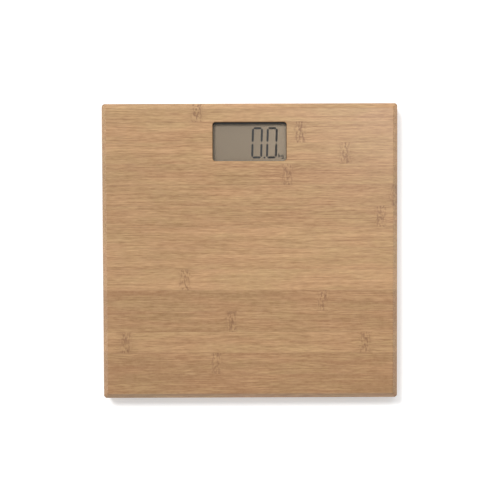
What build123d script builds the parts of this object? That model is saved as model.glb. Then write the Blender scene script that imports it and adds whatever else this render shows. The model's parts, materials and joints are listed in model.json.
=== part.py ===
from build123d import *
import math
import os

# Electronic bathroom scale: a square bamboo board on four load-cell feet, with a
# liquid-crystal display under a rectangular window at its far end.
# Millimetres. Z is up and the floor under the foot pads is Z = 0. X runs to the
# reader's right and Y away from the reader, towards the display. The origin is on
# the floor under the middle of the board.

# Platform board
BOARD_WIDTH = 300.0
BOARD_DEPTH = 300.0
BOARD_THICKNESS = 14.0
BOARD_CLEARANCE = 9.0
BOARD_CORNER_RADIUS = 3.4
TOP_BEVEL = 4.8
BOTTOM_BEVEL = 1.0

# Display window cut through the board
WINDOW_WIDTH = 75.0
WINDOW_DEPTH = 39.4
WINDOW_SETBACK = 18.8
WINDOW_CORNER_RADIUS = 3.0
WINDOW_EASED_EDGE = 0.5
WINDOW_LIP = 3.0

# Display stack, from the lip down
GASKET_THICKNESS = 0.2
MASK_FAR = 2.0
MASK_SIDE = 0.3
GASKET_SETBACK_NEAR = 1.0
PANE_THICKNESS = 1.5
PANE_OVERLAP = 4.5
PANE_TO_LCD_GAP = 0.2
POLARISER_THICKNESS = 0.2
GLASS_THICKNESS = 1.1
CELL_GAP = 0.1
REFLECTOR_THICKNESS = 0.3
GLASS_OVERLAP_X = 2.0
GLASS_OVERLAP_FAR = 1.5
GLASS_OVERLAP_NEAR = 0.5
CONTACT_LEDGE = 3.0
SEAL_WIDTH = 1.0
POLARISER_INSET = 0.4
LCD_FRAME_WALL = 4.2
LCD_FRAME_LEDGE = 3.8
LCD_PLAY = 0.3
LCD_FRAME_SEAT = 2.3
LCD_FRAME_CORNER = 1.2
FRAME_EAR_STEP = 16.5
FRAME_EAR_WIDTH = 8.0
FRAME_EAR_ROOT = 1.0
FRAME_EAR_PLAY = 1.0
FRAME_EAR_ABOVE_PCB = 2.5
ZEBRA_THICKNESS = 2.0
ZEBRA_PLAY = 0.3
ZEBRA_INSET = 5.0

# Seven-segment read-out
DIGIT_HEIGHT = 31.7
DIGIT_WIDTH = 11.2
DIGIT_STROKE = 2.1
DIGIT_MITRE_GAP = 0.35
DIGIT_WAIST_GAP = 0.8
DIGIT_SLANT = 2.0
DIGIT_PITCH = 15.05
FIRST_DIGIT_X = 7.6
DIGIT_CENTRE_OFFSET_Y = -1.25
POINT_SIZE = 1.8
UNIT_HEIGHT = 4.0
UNIT_STROKE = 0.7
UNIT_GAP = 1.2

# Circuit board and what is on it
PCB_THICKNESS = 1.2
PCB_INSET = 0.4
PCB_CORNER = 1.0
PCB_HOLE_CLEARANCE = 0.15
PCB_SCREW_LENGTH = 4.7
CHIP_X = -10.0
CHIP_RADIUS = 7.0
CHIP_HEIGHT = 1.5
SOLDER_INSET_X = 6.0
SOLDER_INSET_Y = 4.4
SOLDER_TIP_RADIUS = 0.35
SOLDER_BASE_RADIUS = 0.6
WIRE_TO_SOLDER = 0.7

# Pocket for the electronics, cut into the board from below
POCKET_SIDE_MARGIN = 8.0
POCKET_NEAR_MARGIN = 36.6
POCKET_FAR_MARGIN = 2.6
POCKET_CORNER_RADIUS = 4.0
DEEP_POCKET_PLAY = 0.4
DEEP_POCKET_CORNER = 1.5

# Rear cover
COVER_THICKNESS = 2.2
COVER_FLANGE = 8.0
COVER_NEAR_FLANGE = 5.0
COVER_CORNER_RADIUS = 6.0
COVER_BEVEL = 0.8
COVER_SCREW_INSET = 3.0
COVER_RIM_WALL = 1.5
COVER_RIM_HEIGHT = 1.2
COVER_PLAY = 0.4
LABEL_THICKNESS = 0.1
LABEL_WIDTH = 52.0
LABEL_DEPTH = 18.0
LABEL_FROM_POCKET_EDGE = 6.0
LABEL_CORNER = 1.5

# Coin cell and its well
CELL_RADIUS = 10.0
CELL_THICKNESS = 3.2
CELL_CAP_RADIUS = 8.7
CELL_CAP_HEIGHT = 0.4
CELL_PLAY = 0.3
CELL_ABOVE_DOOR = 0.4
WELL_WALL = 1.6
WELL_ROOF = 1.2
CONTACT_STRIP = 0.3
CONTACT_LIFT = 0.5
CONTACT_WIDTH = 5.0
CONTACT_PLAY = 0.15
CONTACT_TAIL = 2.2
CONTACT_DIMPLE_RADIUS = 1.5
CONTACT_PAST_DIMPLE = 3.0
POSITIVE_STRIP_WIDTH = 2.4
POSITIVE_BLADE_ABOVE_DOOR = 0.8
BATTERY_WIRE_RADIUS = 0.6
BATTERY_WIRE_BEND_RADIUS = 6.0
BATTERY_WIRE_CLEARANCE = 0.2

# Battery door
DOOR_SIDE_MARGIN = 2.6
DOOR_LIP = 1.9
DOOR_AXIS_FROM_PCB = 7.0
DOOR_THICKNESS = 1.6
DOOR_PLAY = 0.3
DOOR_KNUCKLE_RADIUS = 1.0
DOOR_PIN_RADIUS = 0.7
DOOR_PIN_LENGTH = 1.5
DOOR_PIN_CLEARANCE = 0.08
DOOR_RIB_COUNT = 4
DOOR_RIB_PITCH = 1.6
DOOR_RIB_DEPTH = 0.4
DOOR_RIB_HALF_X = 6.0
DOOR_FIRST_RIB = 4.0
THUMB_SCOOP_RADIUS = 4.2
THUMB_SCOOP_DEPTH = 1.6

# Unit button and its switch
BUTTON_X = 26.0
BUTTON_FROM_PCB_EDGE = 16.0
BUTTON_RADIUS = 3.8
BUTTON_PLAY = 0.3
BUTTON_FLANGE_RADIUS = 5.0
BUTTON_FLANGE = 0.4
BUTTON_TRAVEL = 0.3
BUTTON_RECESS = 0.1
BUTTON_EDGE_RADIUS = 0.5
BUTTON_DISH_RADIUS = 12.0
BUTTON_DISH_DEPTH = 0.4
SWITCH_SIZE = 4.5
SWITCH_HEIGHT = 1.6
SWITCH_PLUNGER_RADIUS = 1.1
SWITCH_PLUNGER_CLEARANCE = 0.08
SWITCH_PLUNGER_LENGTH = 0.9
SWITCH_PLUNGER_REACH = 0.5

# Load cells
LOAD_CELL_SIZE = 34.0
LOAD_CELL_THICKNESS = 2.0
LOAD_CELL_CORNER = 3.0
LOAD_CELL_SLOT = 2.5
LOAD_CELL_ROOM_ABOVE = 1.5
LOAD_CELL_PLAY = 0.2
LOAD_CELL_HOLE_RADIUS = 1.8
LOAD_CELL_DEPTH_IN_POCKET = 3.5
TONGUE_WIDTH = 13.0
TONGUE_ROOT = LOAD_CELL_SIZE / 2 - 7.0
TONGUE_TIP = LOAD_CELL_SIZE / 2 - 6.0
GAUGE_COVER_WIDTH = 9.0
GAUGE_COVER_HEIGHT = 1.3
GAUGE_COVER_PAST_ROOT = 3.0
GAUGE_COVER_FROM_POST = 1.0
GAUGE_COVER_EDGE = 0.5

# Feet
FOOT_POCKET_DEPTH = 8.0
FOOT_HOUSING_RADIUS = LOAD_CELL_SIZE / 2 + 9.0
FOOT_HOUSING_PLAY = 0.3
FOOT_HOUSING_SEAT = 0.5
FOOT_HOUSING_BEVEL = 1.0
FOOT_FLANGE_RADIUS = FOOT_HOUSING_RADIUS + 3.0
FOOT_FLANGE_THICKNESS = 2.0
FOOT_EAR_REACH = FOOT_HOUSING_RADIUS + 6.0
FOOT_EAR_RADIUS = 4.5
FOOT_EAR_COUNT = 3
FOOT_INSET = FOOT_EAR_REACH + FOOT_EAR_RADIUS + 3.5
FOOT_SKIRT_HEIGHT = 3.6
FOOT_BORE_RADIUS = FOOT_HOUSING_RADIUS - 2.0
TONGUE_ROOM = 1.0
SNAP_HOOK_WIDTH = 6.0
SNAP_HOOK_HEIGHT = 1.0
SNAP_HOOK_GRIP = 0.9
SNAP_HOOK_ROOT = 0.5
WIRE_EXIT_LENGTH = 8.0
FOOT_CUP_RADIUS = FOOT_BORE_RADIUS - 1.5
FOOT_CUP_THICKNESS = 3.0
FOOT_CUP_RIM = 1.2
FOOT_CUP_EDGE = 0.8
FOOT_RIB_HEIGHT = 1.8
FOOT_RIB_THICKNESS = 1.4
FOOT_RIB_COUNT = 6
FOOT_RIB_INSET = 2.0
FOOT_POST_RADIUS = 6.0
FOOT_PAD_RADIUS = FOOT_CUP_RADIUS - 2.5
FOOT_PAD_THICKNESS = 2.6
FOOT_PAD_PLAY = 0.1
FOOT_PAD_EDGE = 0.6
FOOT_PAD_GROOVE = 0.6
FOOT_PAD_GROOVE_WIDTH = 1.2
FOOT_PAD_GROOVE_SHARES = (0.45, 0.75)
LOCATING_PIN_RADIUS = 1.6
LOCATING_PIN_HEIGHT = 1.8

# Wires from the load cells, and the grooves that they lie in
WIRE_RADIUS = 0.5
WIRE_SPACING = 1.3
WIRE_BELOW_CELL = 0.1
WIRES_PER_CELL = 3
WIRE_BEND_RADIUS = 45.0
GROOVE_WIDTH = 5.2
GROOVE_DEPTH = 4.0
GROOVE_ENTRY_X = 32.0
GROOVE_ENTRY_ABOVE_POCKET_EDGE = 13.0
GLUE_LENGTH = 9.0
GLUE_EDGE = 0.8
GLUE_CLEARANCE = 0.1
GLUE_RECESS = 0.4
GLUE_BORE_CLEARANCE = 0.02
GLUE_FROM_HOUSING = 12.0
GLUE_SHARES = (0.28, 0.55, 0.8)

# Screws
WOOD_SCREW_HEAD_RADIUS = 3.1
WOOD_SCREW_HEAD_HEIGHT = 1.6
WOOD_SCREW_SHANK_RADIUS = 1.45
COVER_SCREW_LENGTH = 9.0
FOOT_SCREW_LENGTH = 10.0
SMALL_SCREW_HEAD_RADIUS = 1.9
SMALL_SCREW_HEAD_HEIGHT = 1.3
SMALL_SCREW_SHANK_RADIUS = 1.0
FRAME_SCREW_LENGTH = 6.6
SCREW_CLEARANCE = 0.05
SCREW_TIP_RADIUS = 0.3
RECESS_SPAN = 1.1
RECESS_WIDTH = 0.24
RECESS_DEPTH = 0.3

# Levels
BOARD_BOTTOM_Z = BOARD_CLEARANCE
BOARD_TOP_Z = BOARD_BOTTOM_Z + BOARD_THICKNESS
LIP_Z = BOARD_TOP_Z - WINDOW_LIP
PANE_TOP_Z = LIP_Z - GASKET_THICKNESS
PANE_BOTTOM_Z = PANE_TOP_Z - PANE_THICKNESS
POLARISER_TOP_Z = PANE_BOTTOM_Z - PANE_TO_LCD_GAP
FRONT_GLASS_TOP_Z = POLARISER_TOP_Z - POLARISER_THICKNESS
CELL_LAYER_TOP_Z = FRONT_GLASS_TOP_Z - GLASS_THICKNESS
REAR_GLASS_TOP_Z = CELL_LAYER_TOP_Z - CELL_GAP
REFLECTOR_TOP_Z = REAR_GLASS_TOP_Z - GLASS_THICKNESS
LCD_SEAT_Z = REFLECTOR_TOP_Z - REFLECTOR_THICKNESS
PCB_TOP_Z = LCD_SEAT_Z - LCD_FRAME_SEAT
PCB_BOTTOM_Z = PCB_TOP_Z - PCB_THICKNESS
POCKET_ROOF_Z = PCB_TOP_Z + FRAME_EAR_ABOVE_PCB
COVER_BOTTOM_Z = BOARD_BOTTOM_Z - COVER_THICKNESS
FOOT_POCKET_ROOF_Z = BOARD_BOTTOM_Z + FOOT_POCKET_DEPTH
LOAD_CELL_TOP_Z = FOOT_POCKET_ROOF_Z - LOAD_CELL_DEPTH_IN_POCKET
LOAD_CELL_BOTTOM_Z = LOAD_CELL_TOP_Z - LOAD_CELL_THICKNESS
WIRE_Z = LOAD_CELL_BOTTOM_Z - WIRE_BELOW_CELL - WIRE_RADIUS

# Places in plan
WINDOW_FAR_Y = BOARD_DEPTH / 2 - WINDOW_SETBACK
WINDOW_NEAR_Y = WINDOW_FAR_Y - WINDOW_DEPTH
WINDOW_CENTRE_Y = (WINDOW_FAR_Y + WINDOW_NEAR_Y) / 2
GLASS_HALF_X = WINDOW_WIDTH / 2 + GLASS_OVERLAP_X
GLASS_FAR_Y = WINDOW_FAR_Y + GLASS_OVERLAP_FAR
REAR_GLASS_NEAR_Y = WINDOW_NEAR_Y - GLASS_OVERLAP_NEAR
GLASS_NEAR_Y = REAR_GLASS_NEAR_Y - CONTACT_LEDGE
LCD_FRAME_HALF_X = GLASS_HALF_X + LCD_PLAY + LCD_FRAME_WALL
LCD_FRAME_FAR_Y = GLASS_FAR_Y + LCD_PLAY + LCD_FRAME_WALL
LCD_FRAME_NEAR_Y = GLASS_NEAR_Y - LCD_PLAY - LCD_FRAME_WALL
POCKET_HALF_X = LCD_FRAME_HALF_X + POCKET_SIDE_MARGIN
POCKET_FAR_Y = LCD_FRAME_FAR_Y + DEEP_POCKET_PLAY + POCKET_FAR_MARGIN
POCKET_NEAR_Y = LCD_FRAME_NEAR_Y - DEEP_POCKET_PLAY - POCKET_NEAR_MARGIN
FOOT_X = BOARD_WIDTH / 2 - FOOT_INSET
FOOT_Y = BOARD_DEPTH / 2 - FOOT_INSET
GROOVE_ENTRY_Y = POCKET_NEAR_Y + GROOVE_ENTRY_ABOVE_POCKET_EDGE
DOOR_HALF_X = CELL_RADIUS + DOOR_SIDE_MARGIN
WELL_HALF_X = DOOR_HALF_X + DOOR_PLAY + WELL_WALL
DOOR_AXIS_Y = LCD_FRAME_NEAR_Y - DOOR_AXIS_FROM_PCB
DOOR_AXIS_Z = COVER_BOTTOM_Z + DOOR_KNUCKLE_RADIUS
DOOR_FAR_Y = DOOR_AXIS_Y + DOOR_KNUCKLE_RADIUS
CELL_Y = DOOR_AXIS_Y - DOOR_KNUCKLE_RADIUS - CELL_PLAY - CELL_RADIUS
DOOR_NEAR_Y = CELL_Y - CELL_RADIUS - CELL_PLAY - DOOR_LIP
WELL_FAR_Y = DOOR_FAR_Y + DOOR_PLAY + WELL_WALL
WELL_NEAR_Y = DOOR_NEAR_Y - DOOR_PLAY - WELL_WALL
DOOR_TOP_Z = COVER_BOTTOM_Z + DOOR_THICKNESS
CELL_BOTTOM_Z = DOOR_TOP_Z + CELL_ABOVE_DOOR
CELL_TOP_Z = CELL_BOTTOM_Z + CELL_THICKNESS
WELL_ROOF_Z = CELL_TOP_Z + CONTACT_LIFT
BUTTON_Y = LCD_FRAME_NEAR_Y + BUTTON_FROM_PCB_EDGE
POSITIVE_STRIP_X = (-CELL_RADIUS - POSITIVE_STRIP_WIDTH, -CELL_RADIUS)
CONTACT_TAIL_Y = WELL_FAR_Y + CONTACT_TAIL
GAUGE_COVER_X = (FOOT_POST_RADIUS + GAUGE_COVER_FROM_POST, TONGUE_ROOT + GAUGE_COVER_PAST_ROOT)

# Each foot: its place, and the way its wires leave it
FEET = {
    "display_left": (-FOOT_X, FOOT_Y, 0.0),
    "display_right": (FOOT_X, FOOT_Y, 180.0),
    "heel_left": (
        -FOOT_X,
        -FOOT_Y,
        math.degrees(math.atan2(GROOVE_ENTRY_Y + FOOT_Y, FOOT_X - GROOVE_ENTRY_X)),
    ),
    "heel_right": (
        FOOT_X,
        -FOOT_Y,
        math.degrees(math.atan2(GROOVE_ENTRY_Y + FOOT_Y, GROOVE_ENTRY_X - FOOT_X)),
    ),
}

UP = (Align.CENTER, Align.CENTER, Align.MIN)


def slab(x0, x1, y0, y1, z0, z1, corner_radius=0.0):
    """An upright block between six limits, with its four upright edges rounded."""
    block = Pos((x0 + x1) / 2, (y0 + y1) / 2, z0) * Box(x1 - x0, y1 - y0, z1 - z0, align=UP)
    if corner_radius > 0:
        block = fillet(block.edges().filter_by(Axis.Z), corner_radius)
    return block


def disc(radius, z0, z1, x=0.0, y=0.0):
    """An upright cylinder between two levels."""
    return Pos(x, y, z0) * Cylinder(radius, z1 - z0, align=UP)


def bar_along_x(radius, x0, x1, y, z):
    """A cylinder that lies along X."""
    return Pos((x0 + x1) / 2, y, z) * Rot(0, 90, 0) * Cylinder(radius, x1 - x0)


def group(solids):
    """Separate solids that share one node."""
    return Compound(children=list(solids))


def wood_screw(length):
    """A countersunk screw with its head face down at Z = 0 and its tip up."""
    head = Cone(
        WOOD_SCREW_HEAD_RADIUS, WOOD_SCREW_SHANK_RADIUS, WOOD_SCREW_HEAD_HEIGHT, align=UP
    )
    tip_length = 2 * WOOD_SCREW_SHANK_RADIUS
    shank = disc(WOOD_SCREW_SHANK_RADIUS, WOOD_SCREW_HEAD_HEIGHT, length - tip_length)
    tip = Pos(0, 0, length - tip_length) * Cone(
        WOOD_SCREW_SHANK_RADIUS, SCREW_TIP_RADIUS, tip_length, align=UP
    )
    return head + shank + tip - cross_recess(WOOD_SCREW_HEAD_RADIUS)


def wood_screw_hole(length):
    """The countersunk hole that a wood screw fills."""
    grow = SCREW_CLEARANCE
    cone = Cone(
        WOOD_SCREW_HEAD_RADIUS + grow,
        WOOD_SCREW_SHANK_RADIUS + grow,
        WOOD_SCREW_HEAD_HEIGHT,
        align=UP,
    )
    return cone + disc(WOOD_SCREW_SHANK_RADIUS + grow, 0, length + grow)


def small_screw(length):
    """A pan-head screw: the head hangs below Z = 0 and the shank stands above it."""
    head = disc(SMALL_SCREW_HEAD_RADIUS, -SMALL_SCREW_HEAD_HEIGHT, 0)
    head = fillet(head.edges().sort_by(Axis.Z)[0], SMALL_SCREW_HEAD_HEIGHT / 2)
    recess = Pos(0, 0, -SMALL_SCREW_HEAD_HEIGHT) * cross_recess(SMALL_SCREW_HEAD_RADIUS)
    return head + disc(SMALL_SCREW_SHANK_RADIUS, 0, length) - recess


def cross_recess(head_radius):
    """The cross slot of a screw head, cut upwards from Z = 0."""
    span = head_radius * RECESS_SPAN
    width = head_radius * RECESS_WIDTH
    depth = head_radius * RECESS_DEPTH
    return Box(span, width, depth, align=UP) + Box(width, span, depth, align=UP)


def at(place, solid):
    """The solid moved to a place given as (x, y, z)."""
    return Pos(*place) * solid


def in_foot(name, solid):
    """A foot's piece, drawn about the origin with its wires leaving along +X."""
    x, y, turn = FEET[name]
    return Pos(x, y, 0) * Rot(0, 0, turn) * solid


def ear_places():
    """Where a foot's screws stand, in the foot's own plan."""
    step = 360.0 / FOOT_EAR_COUNT
    angles = [math.radians(step / 2 + step * i) for i in range(FOOT_EAR_COUNT)]
    return [(FOOT_EAR_REACH * math.cos(a), FOOT_EAR_REACH * math.sin(a)) for a in angles]


def cover_screw_places():
    """Three screws down each side of the rear cover."""
    x = POCKET_HALF_X + COVER_FLANGE / 2
    near = POCKET_NEAR_Y + COVER_SCREW_INSET
    far = POCKET_FAR_Y - COVER_SCREW_INSET
    ys = (near, (near + far) / 2, far)
    return [(side * x, y) for side in (-1, 1) for y in ys]


def frame_ear_places():
    """The four ears that hold the display frame to the board."""
    x = (LCD_FRAME_HALF_X + POCKET_HALF_X) / 2
    ys = (WINDOW_CENTRE_Y - FRAME_EAR_STEP, WINDOW_CENTRE_Y + FRAME_EAR_STEP)
    return [(side * x, y) for side in (-1, 1) for y in ys]


def pcb_screw_places():
    """Four screws in the corners of the display frame's wall."""
    x = LCD_FRAME_HALF_X - LCD_FRAME_WALL / 2
    ys = (LCD_FRAME_NEAR_Y + LCD_FRAME_WALL / 2, LCD_FRAME_FAR_Y - LCD_FRAME_WALL / 2)
    return [(side * x, y) for side in (-1, 1) for y in ys]


def groove(name):
    """The groove that one foot's wires lie in, from its pocket to the electronics."""
    x, y, turn = FEET[name]
    if name.startswith("display"):
        length = FOOT_X - POCKET_HALF_X + POCKET_CORNER_RADIUS
    else:
        length = math.hypot(FOOT_X - GROOVE_ENTRY_X, FOOT_Y + GROOVE_ENTRY_Y)
    cut = slab(0, length, -GROOVE_WIDTH / 2, GROOVE_WIDTH / 2, 0, GROOVE_DEPTH)
    return Pos(x, y, BOARD_BOTTOM_Z) * Rot(0, 0, turn) * cut


def platform_board():
    """The bamboo board, with its window, pockets, grooves and pilot holes."""
    half_x = BOARD_WIDTH / 2
    half_y = BOARD_DEPTH / 2
    board = slab(-half_x, half_x, -half_y, half_y, BOARD_BOTTOM_Z, BOARD_TOP_Z)
    board = chamfer(board.faces().sort_by(Axis.Z)[-1].edges(), TOP_BEVEL)
    board = chamfer(board.faces().sort_by(Axis.Z)[0].edges(), BOTTOM_BEVEL)
    corners = board.edges().filter_by(lambda edge: abs(edge.tangent_at(0.5).Z) > 0.5)
    board = fillet(corners, BOARD_CORNER_RADIUS)
    board -= display_opening()
    board -= electronics_pocket()
    for name in FEET:
        radius = FOOT_HOUSING_RADIUS + FOOT_HOUSING_PLAY
        board -= in_foot(name, disc(radius, BOARD_BOTTOM_Z, FOOT_POCKET_ROOF_Z))
        board -= groove(name)
        for x, y in ear_places():
            board -= in_foot(name, foot_screw_hole(x, y))
    for x, y in cover_screw_places():
        board -= at((x, y, COVER_BOTTOM_Z), wood_screw_hole(COVER_SCREW_LENGTH))
    for x, y in frame_ear_places():
        pilot_radius = SMALL_SCREW_SHANK_RADIUS + SCREW_CLEARANCE
        pilot_top = POCKET_ROOF_Z - LCD_FRAME_SEAT + FRAME_SCREW_LENGTH + SCREW_CLEARANCE
        board -= disc(pilot_radius, POCKET_ROOF_Z, pilot_top, x, y)
    return board


def display_opening():
    """The window, with the top edge of its lip eased."""
    half = WINDOW_WIDTH / 2
    hole = slab(
        -half, half, WINDOW_NEAR_Y, WINDOW_FAR_Y, LIP_Z, BOARD_TOP_Z, WINDOW_CORNER_RADIUS
    )
    edge = WINDOW_EASED_EDGE
    flare = slab(
        -half - edge,
        half + edge,
        WINDOW_NEAR_Y - edge,
        WINDOW_FAR_Y + edge,
        BOARD_TOP_Z - edge,
        BOARD_TOP_Z,
        WINDOW_CORNER_RADIUS + edge,
    )
    flare = chamfer(flare.faces().sort_by(Axis.Z)[0].edges(), edge * 0.99)
    return hole + flare


def electronics_pocket():
    """A shallow pocket for the electronics with a deeper one for the display."""
    half = POCKET_HALF_X
    shallow = slab(
        -half,
        half,
        POCKET_NEAR_Y,
        POCKET_FAR_Y,
        BOARD_BOTTOM_Z,
        POCKET_ROOF_Z,
        POCKET_CORNER_RADIUS,
    )
    reach = LCD_FRAME_HALF_X + DEEP_POCKET_PLAY
    deep = slab(
        -reach,
        reach,
        LCD_FRAME_NEAR_Y - DEEP_POCKET_PLAY,
        LCD_FRAME_FAR_Y + DEEP_POCKET_PLAY,
        BOARD_BOTTOM_Z,
        LIP_Z,
        DEEP_POCKET_CORNER,
    )
    return shallow + deep


def foot_screw_hole(x, y):
    """One countersunk hole through a foot's ear and into the board."""
    return at((x, y, BOARD_BOTTOM_Z - FOOT_FLANGE_THICKNESS), wood_screw_hole(FOOT_SCREW_LENGTH))


def display_gasket():
    """The black adhesive ring between the pane and the lip, which masks the display's edge."""
    ring = pane_block(LIP_Z - GASKET_THICKNESS, LIP_Z)
    half = WINDOW_WIDTH / 2 - MASK_SIDE
    opening = slab(
        -half,
        half,
        WINDOW_NEAR_Y - GASKET_SETBACK_NEAR,
        WINDOW_FAR_Y - MASK_FAR,
        LIP_Z - GASKET_THICKNESS,
        LIP_Z,
        WINDOW_CORNER_RADIUS - MASK_SIDE,
    )
    return ring - opening


def pane_block(z0, z1):
    """The outline of the clear pane between two levels."""
    half = WINDOW_WIDTH / 2 + PANE_OVERLAP
    near = WINDOW_NEAR_Y - PANE_OVERLAP
    far = WINDOW_FAR_Y + PANE_OVERLAP
    return slab(-half, half, near, far, z0, z1, WINDOW_CORNER_RADIUS)


def lcd_sheet(near_y, z0, z1, inset=0.0):
    """One flat layer of the display, from its near edge to the far edge of the glass."""
    half = GLASS_HALF_X - inset
    return slab(-half, half, near_y + inset, GLASS_FAR_Y - inset, z0, z1)


def lcd_seal():
    """The seal round the liquid crystal."""
    outer = lcd_sheet(REAR_GLASS_NEAR_Y, REAR_GLASS_TOP_Z, CELL_LAYER_TOP_Z)
    inner = lcd_sheet(REAR_GLASS_NEAR_Y, REAR_GLASS_TOP_Z, CELL_LAYER_TOP_Z, SEAL_WIDTH)
    return outer - inner


def lit_bar(x, y, length, upright):
    """One lit bar of a digit, pointed at both ends, about its middle and slanted with the digit."""
    half = length / 2
    wide = DIGIT_STROKE / 2
    level = [
        (-half, 0), (-half + wide, wide), (half - wide, wide),
        (half, 0), (half - wide, -wide), (-half + wide, -wide),
    ]
    turned = [(-across, along) for along, across in level] if upright else level
    slant = math.tan(math.radians(DIGIT_SLANT))
    corners = [(x + a + (y + b) * slant, y + b) for a, b in turned]
    return extrude(make_face(Polyline(*corners, close=True)), CELL_GAP)


def zero_digit():
    """The six lit bars of a nought, about its own middle."""
    across = DIGIT_WIDTH - DIGIT_STROKE
    upright = (DIGIT_HEIGHT - DIGIT_STROKE) / 2
    middle = (upright + DIGIT_WAIST_GAP - DIGIT_MITRE_GAP) / 2
    tall = upright - DIGIT_WAIST_GAP - DIGIT_MITRE_GAP
    bars = [lit_bar(0, side * upright, across - 2 * DIGIT_MITRE_GAP, False) for side in (-1, 1)]
    bars += [
        lit_bar(side * across / 2, level * middle, tall, True) for side in (-1, 1) for level in (-1, 1)
    ]
    return bars


def stroke(x0, y0, x1, y1):
    """A straight stroke of the unit mark."""
    length = math.hypot(x1 - x0, y1 - y0)
    turn = math.degrees(math.atan2(y1 - y0, x1 - x0))
    bar = Box(length, UNIT_STROKE, CELL_GAP, align=UP)
    return Pos((x0 + x1) / 2, (y0 + y1) / 2, 0) * Rot(0, 0, turn) * bar


def unit_mark():
    """The small unit sign beside the digits: the letters k and g in plain strokes."""
    bowl = UNIT_HEIGHT * 0.31
    middle = UNIT_HEIGHT * 0.28
    letter_k = stroke(0, 0, 0, UNIT_HEIGHT)
    letter_k += stroke(0, middle, bowl * 1.35, UNIT_HEIGHT * 0.62)
    letter_k += stroke(bowl * 0.35, UNIT_HEIGHT * 0.36, bowl * 1.5, 0)
    ring = disc(bowl, 0, CELL_GAP) - disc(bowl - UNIT_STROKE, 0, CELL_GAP)
    letter_g = Pos(bowl, bowl, 0) * ring
    stem = 2 * bowl - UNIT_STROKE / 2
    letter_g += stroke(stem, 2 * bowl, stem, -middle)
    letter_g += stroke(stem + UNIT_STROKE / 2, -middle, bowl * 0.35, -middle)
    return [letter_k, Pos(bowl * 2.1, 0, 0) * letter_g]


def lcd_segments():
    """The lit segments: two noughts, the point between them and the unit."""
    base_y = WINDOW_CENTRE_Y + DIGIT_CENTRE_OFFSET_Y
    foot_y = base_y - DIGIT_HEIGHT / 2
    pieces = []
    for index in range(2):
        place = Pos(FIRST_DIGIT_X + index * DIGIT_PITCH, base_y, REAR_GLASS_TOP_Z)
        pieces += [place * bar for bar in zero_digit()]
    point_x = FIRST_DIGIT_X + DIGIT_PITCH / 2
    pieces.append(
        slab(
            point_x - POINT_SIZE / 2,
            point_x + POINT_SIZE / 2,
            foot_y,
            foot_y + POINT_SIZE,
            REAR_GLASS_TOP_Z,
            CELL_LAYER_TOP_Z,
        )
    )
    unit_x = FIRST_DIGIT_X + DIGIT_PITCH + DIGIT_WIDTH / 2 + UNIT_GAP
    place = Pos(unit_x, foot_y + UNIT_HEIGHT * 0.28, REAR_GLASS_TOP_Z)
    pieces += [place * letter for letter in unit_mark()]
    return group(pieces)


def lcd_frame():
    """The moulded frame that seats the display and carries the circuit board."""
    frame = slab(
        -LCD_FRAME_HALF_X,
        LCD_FRAME_HALF_X,
        LCD_FRAME_NEAR_Y,
        LCD_FRAME_FAR_Y,
        PCB_TOP_Z,
        PANE_BOTTOM_Z,
        LCD_FRAME_CORNER,
    )
    room = GLASS_HALF_X + LCD_PLAY
    frame -= slab(
        -room, room, GLASS_NEAR_Y - LCD_PLAY, GLASS_FAR_Y + LCD_PLAY, LCD_SEAT_Z, PANE_BOTTOM_Z
    )
    inner = room - LCD_FRAME_LEDGE
    frame -= slab(
        -inner,
        inner,
        REAR_GLASS_NEAR_Y + LCD_FRAME_LEDGE,
        GLASS_FAR_Y + LCD_PLAY - LCD_FRAME_LEDGE,
        PCB_TOP_Z,
        LCD_SEAT_Z,
    )
    frame -= zebra_block(ZEBRA_PLAY, LCD_SEAT_Z)
    for x, y in frame_ear_places():
        frame += frame_ear(x, y)
    for x, y in frame_ear_places():
        frame -= disc(SMALL_SCREW_SHANK_RADIUS + SCREW_CLEARANCE, PCB_TOP_Z, POCKET_ROOF_Z, x, y)
    for x, y in pcb_screw_places():
        top = PCB_BOTTOM_Z + PCB_SCREW_LENGTH + SCREW_CLEARANCE
        frame -= disc(SMALL_SCREW_SHANK_RADIUS + SCREW_CLEARANCE, PCB_TOP_Z, top, x, y)
    return frame


def frame_ear(x, y):
    """One ear that lies against the roof of the shallow pocket."""
    inner_x = LCD_FRAME_HALF_X - FRAME_EAR_ROOT
    outer_x = POCKET_HALF_X - FRAME_EAR_PLAY
    side = math.copysign(1.0, x)
    low, high = sorted((side * inner_x, side * outer_x))
    half = FRAME_EAR_WIDTH / 2
    return slab(low, high, y - half, y + half, POCKET_ROOF_Z - LCD_FRAME_SEAT, POCKET_ROOF_Z)


def zebra_block(grow, top_z):
    """The striped rubber connector under the contact ledge, or its slot when grown."""
    half = GLASS_HALF_X - ZEBRA_INSET + grow
    middle = (GLASS_NEAR_Y + REAR_GLASS_NEAR_Y) / 2
    deep = ZEBRA_THICKNESS / 2 + grow
    return slab(-half, half, middle - deep, middle + deep, PCB_TOP_Z, top_z)


def circuit_board():
    """The circuit board under the display frame."""
    half = LCD_FRAME_HALF_X - PCB_INSET
    board = slab(
        -half,
        half,
        LCD_FRAME_NEAR_Y + PCB_INSET,
        LCD_FRAME_FAR_Y - PCB_INSET,
        PCB_BOTTOM_Z,
        PCB_TOP_Z,
        PCB_CORNER,
    )
    for x, y in pcb_screw_places():
        hole_radius = SMALL_SCREW_SHANK_RADIUS + PCB_HOLE_CLEARANCE
        board -= disc(hole_radius, PCB_BOTTOM_Z, PCB_TOP_Z, x, y)
    return board


def controller_chip():
    """The controller under its round drop of epoxy."""
    low = PCB_BOTTOM_Z - CHIP_HEIGHT
    drop = disc(CHIP_RADIUS, low, PCB_BOTTOM_Z, CHIP_X, WINDOW_CENTRE_Y)
    return fillet(drop.edges().sort_by(Axis.Z)[0], CHIP_HEIGHT * 0.9)


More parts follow.
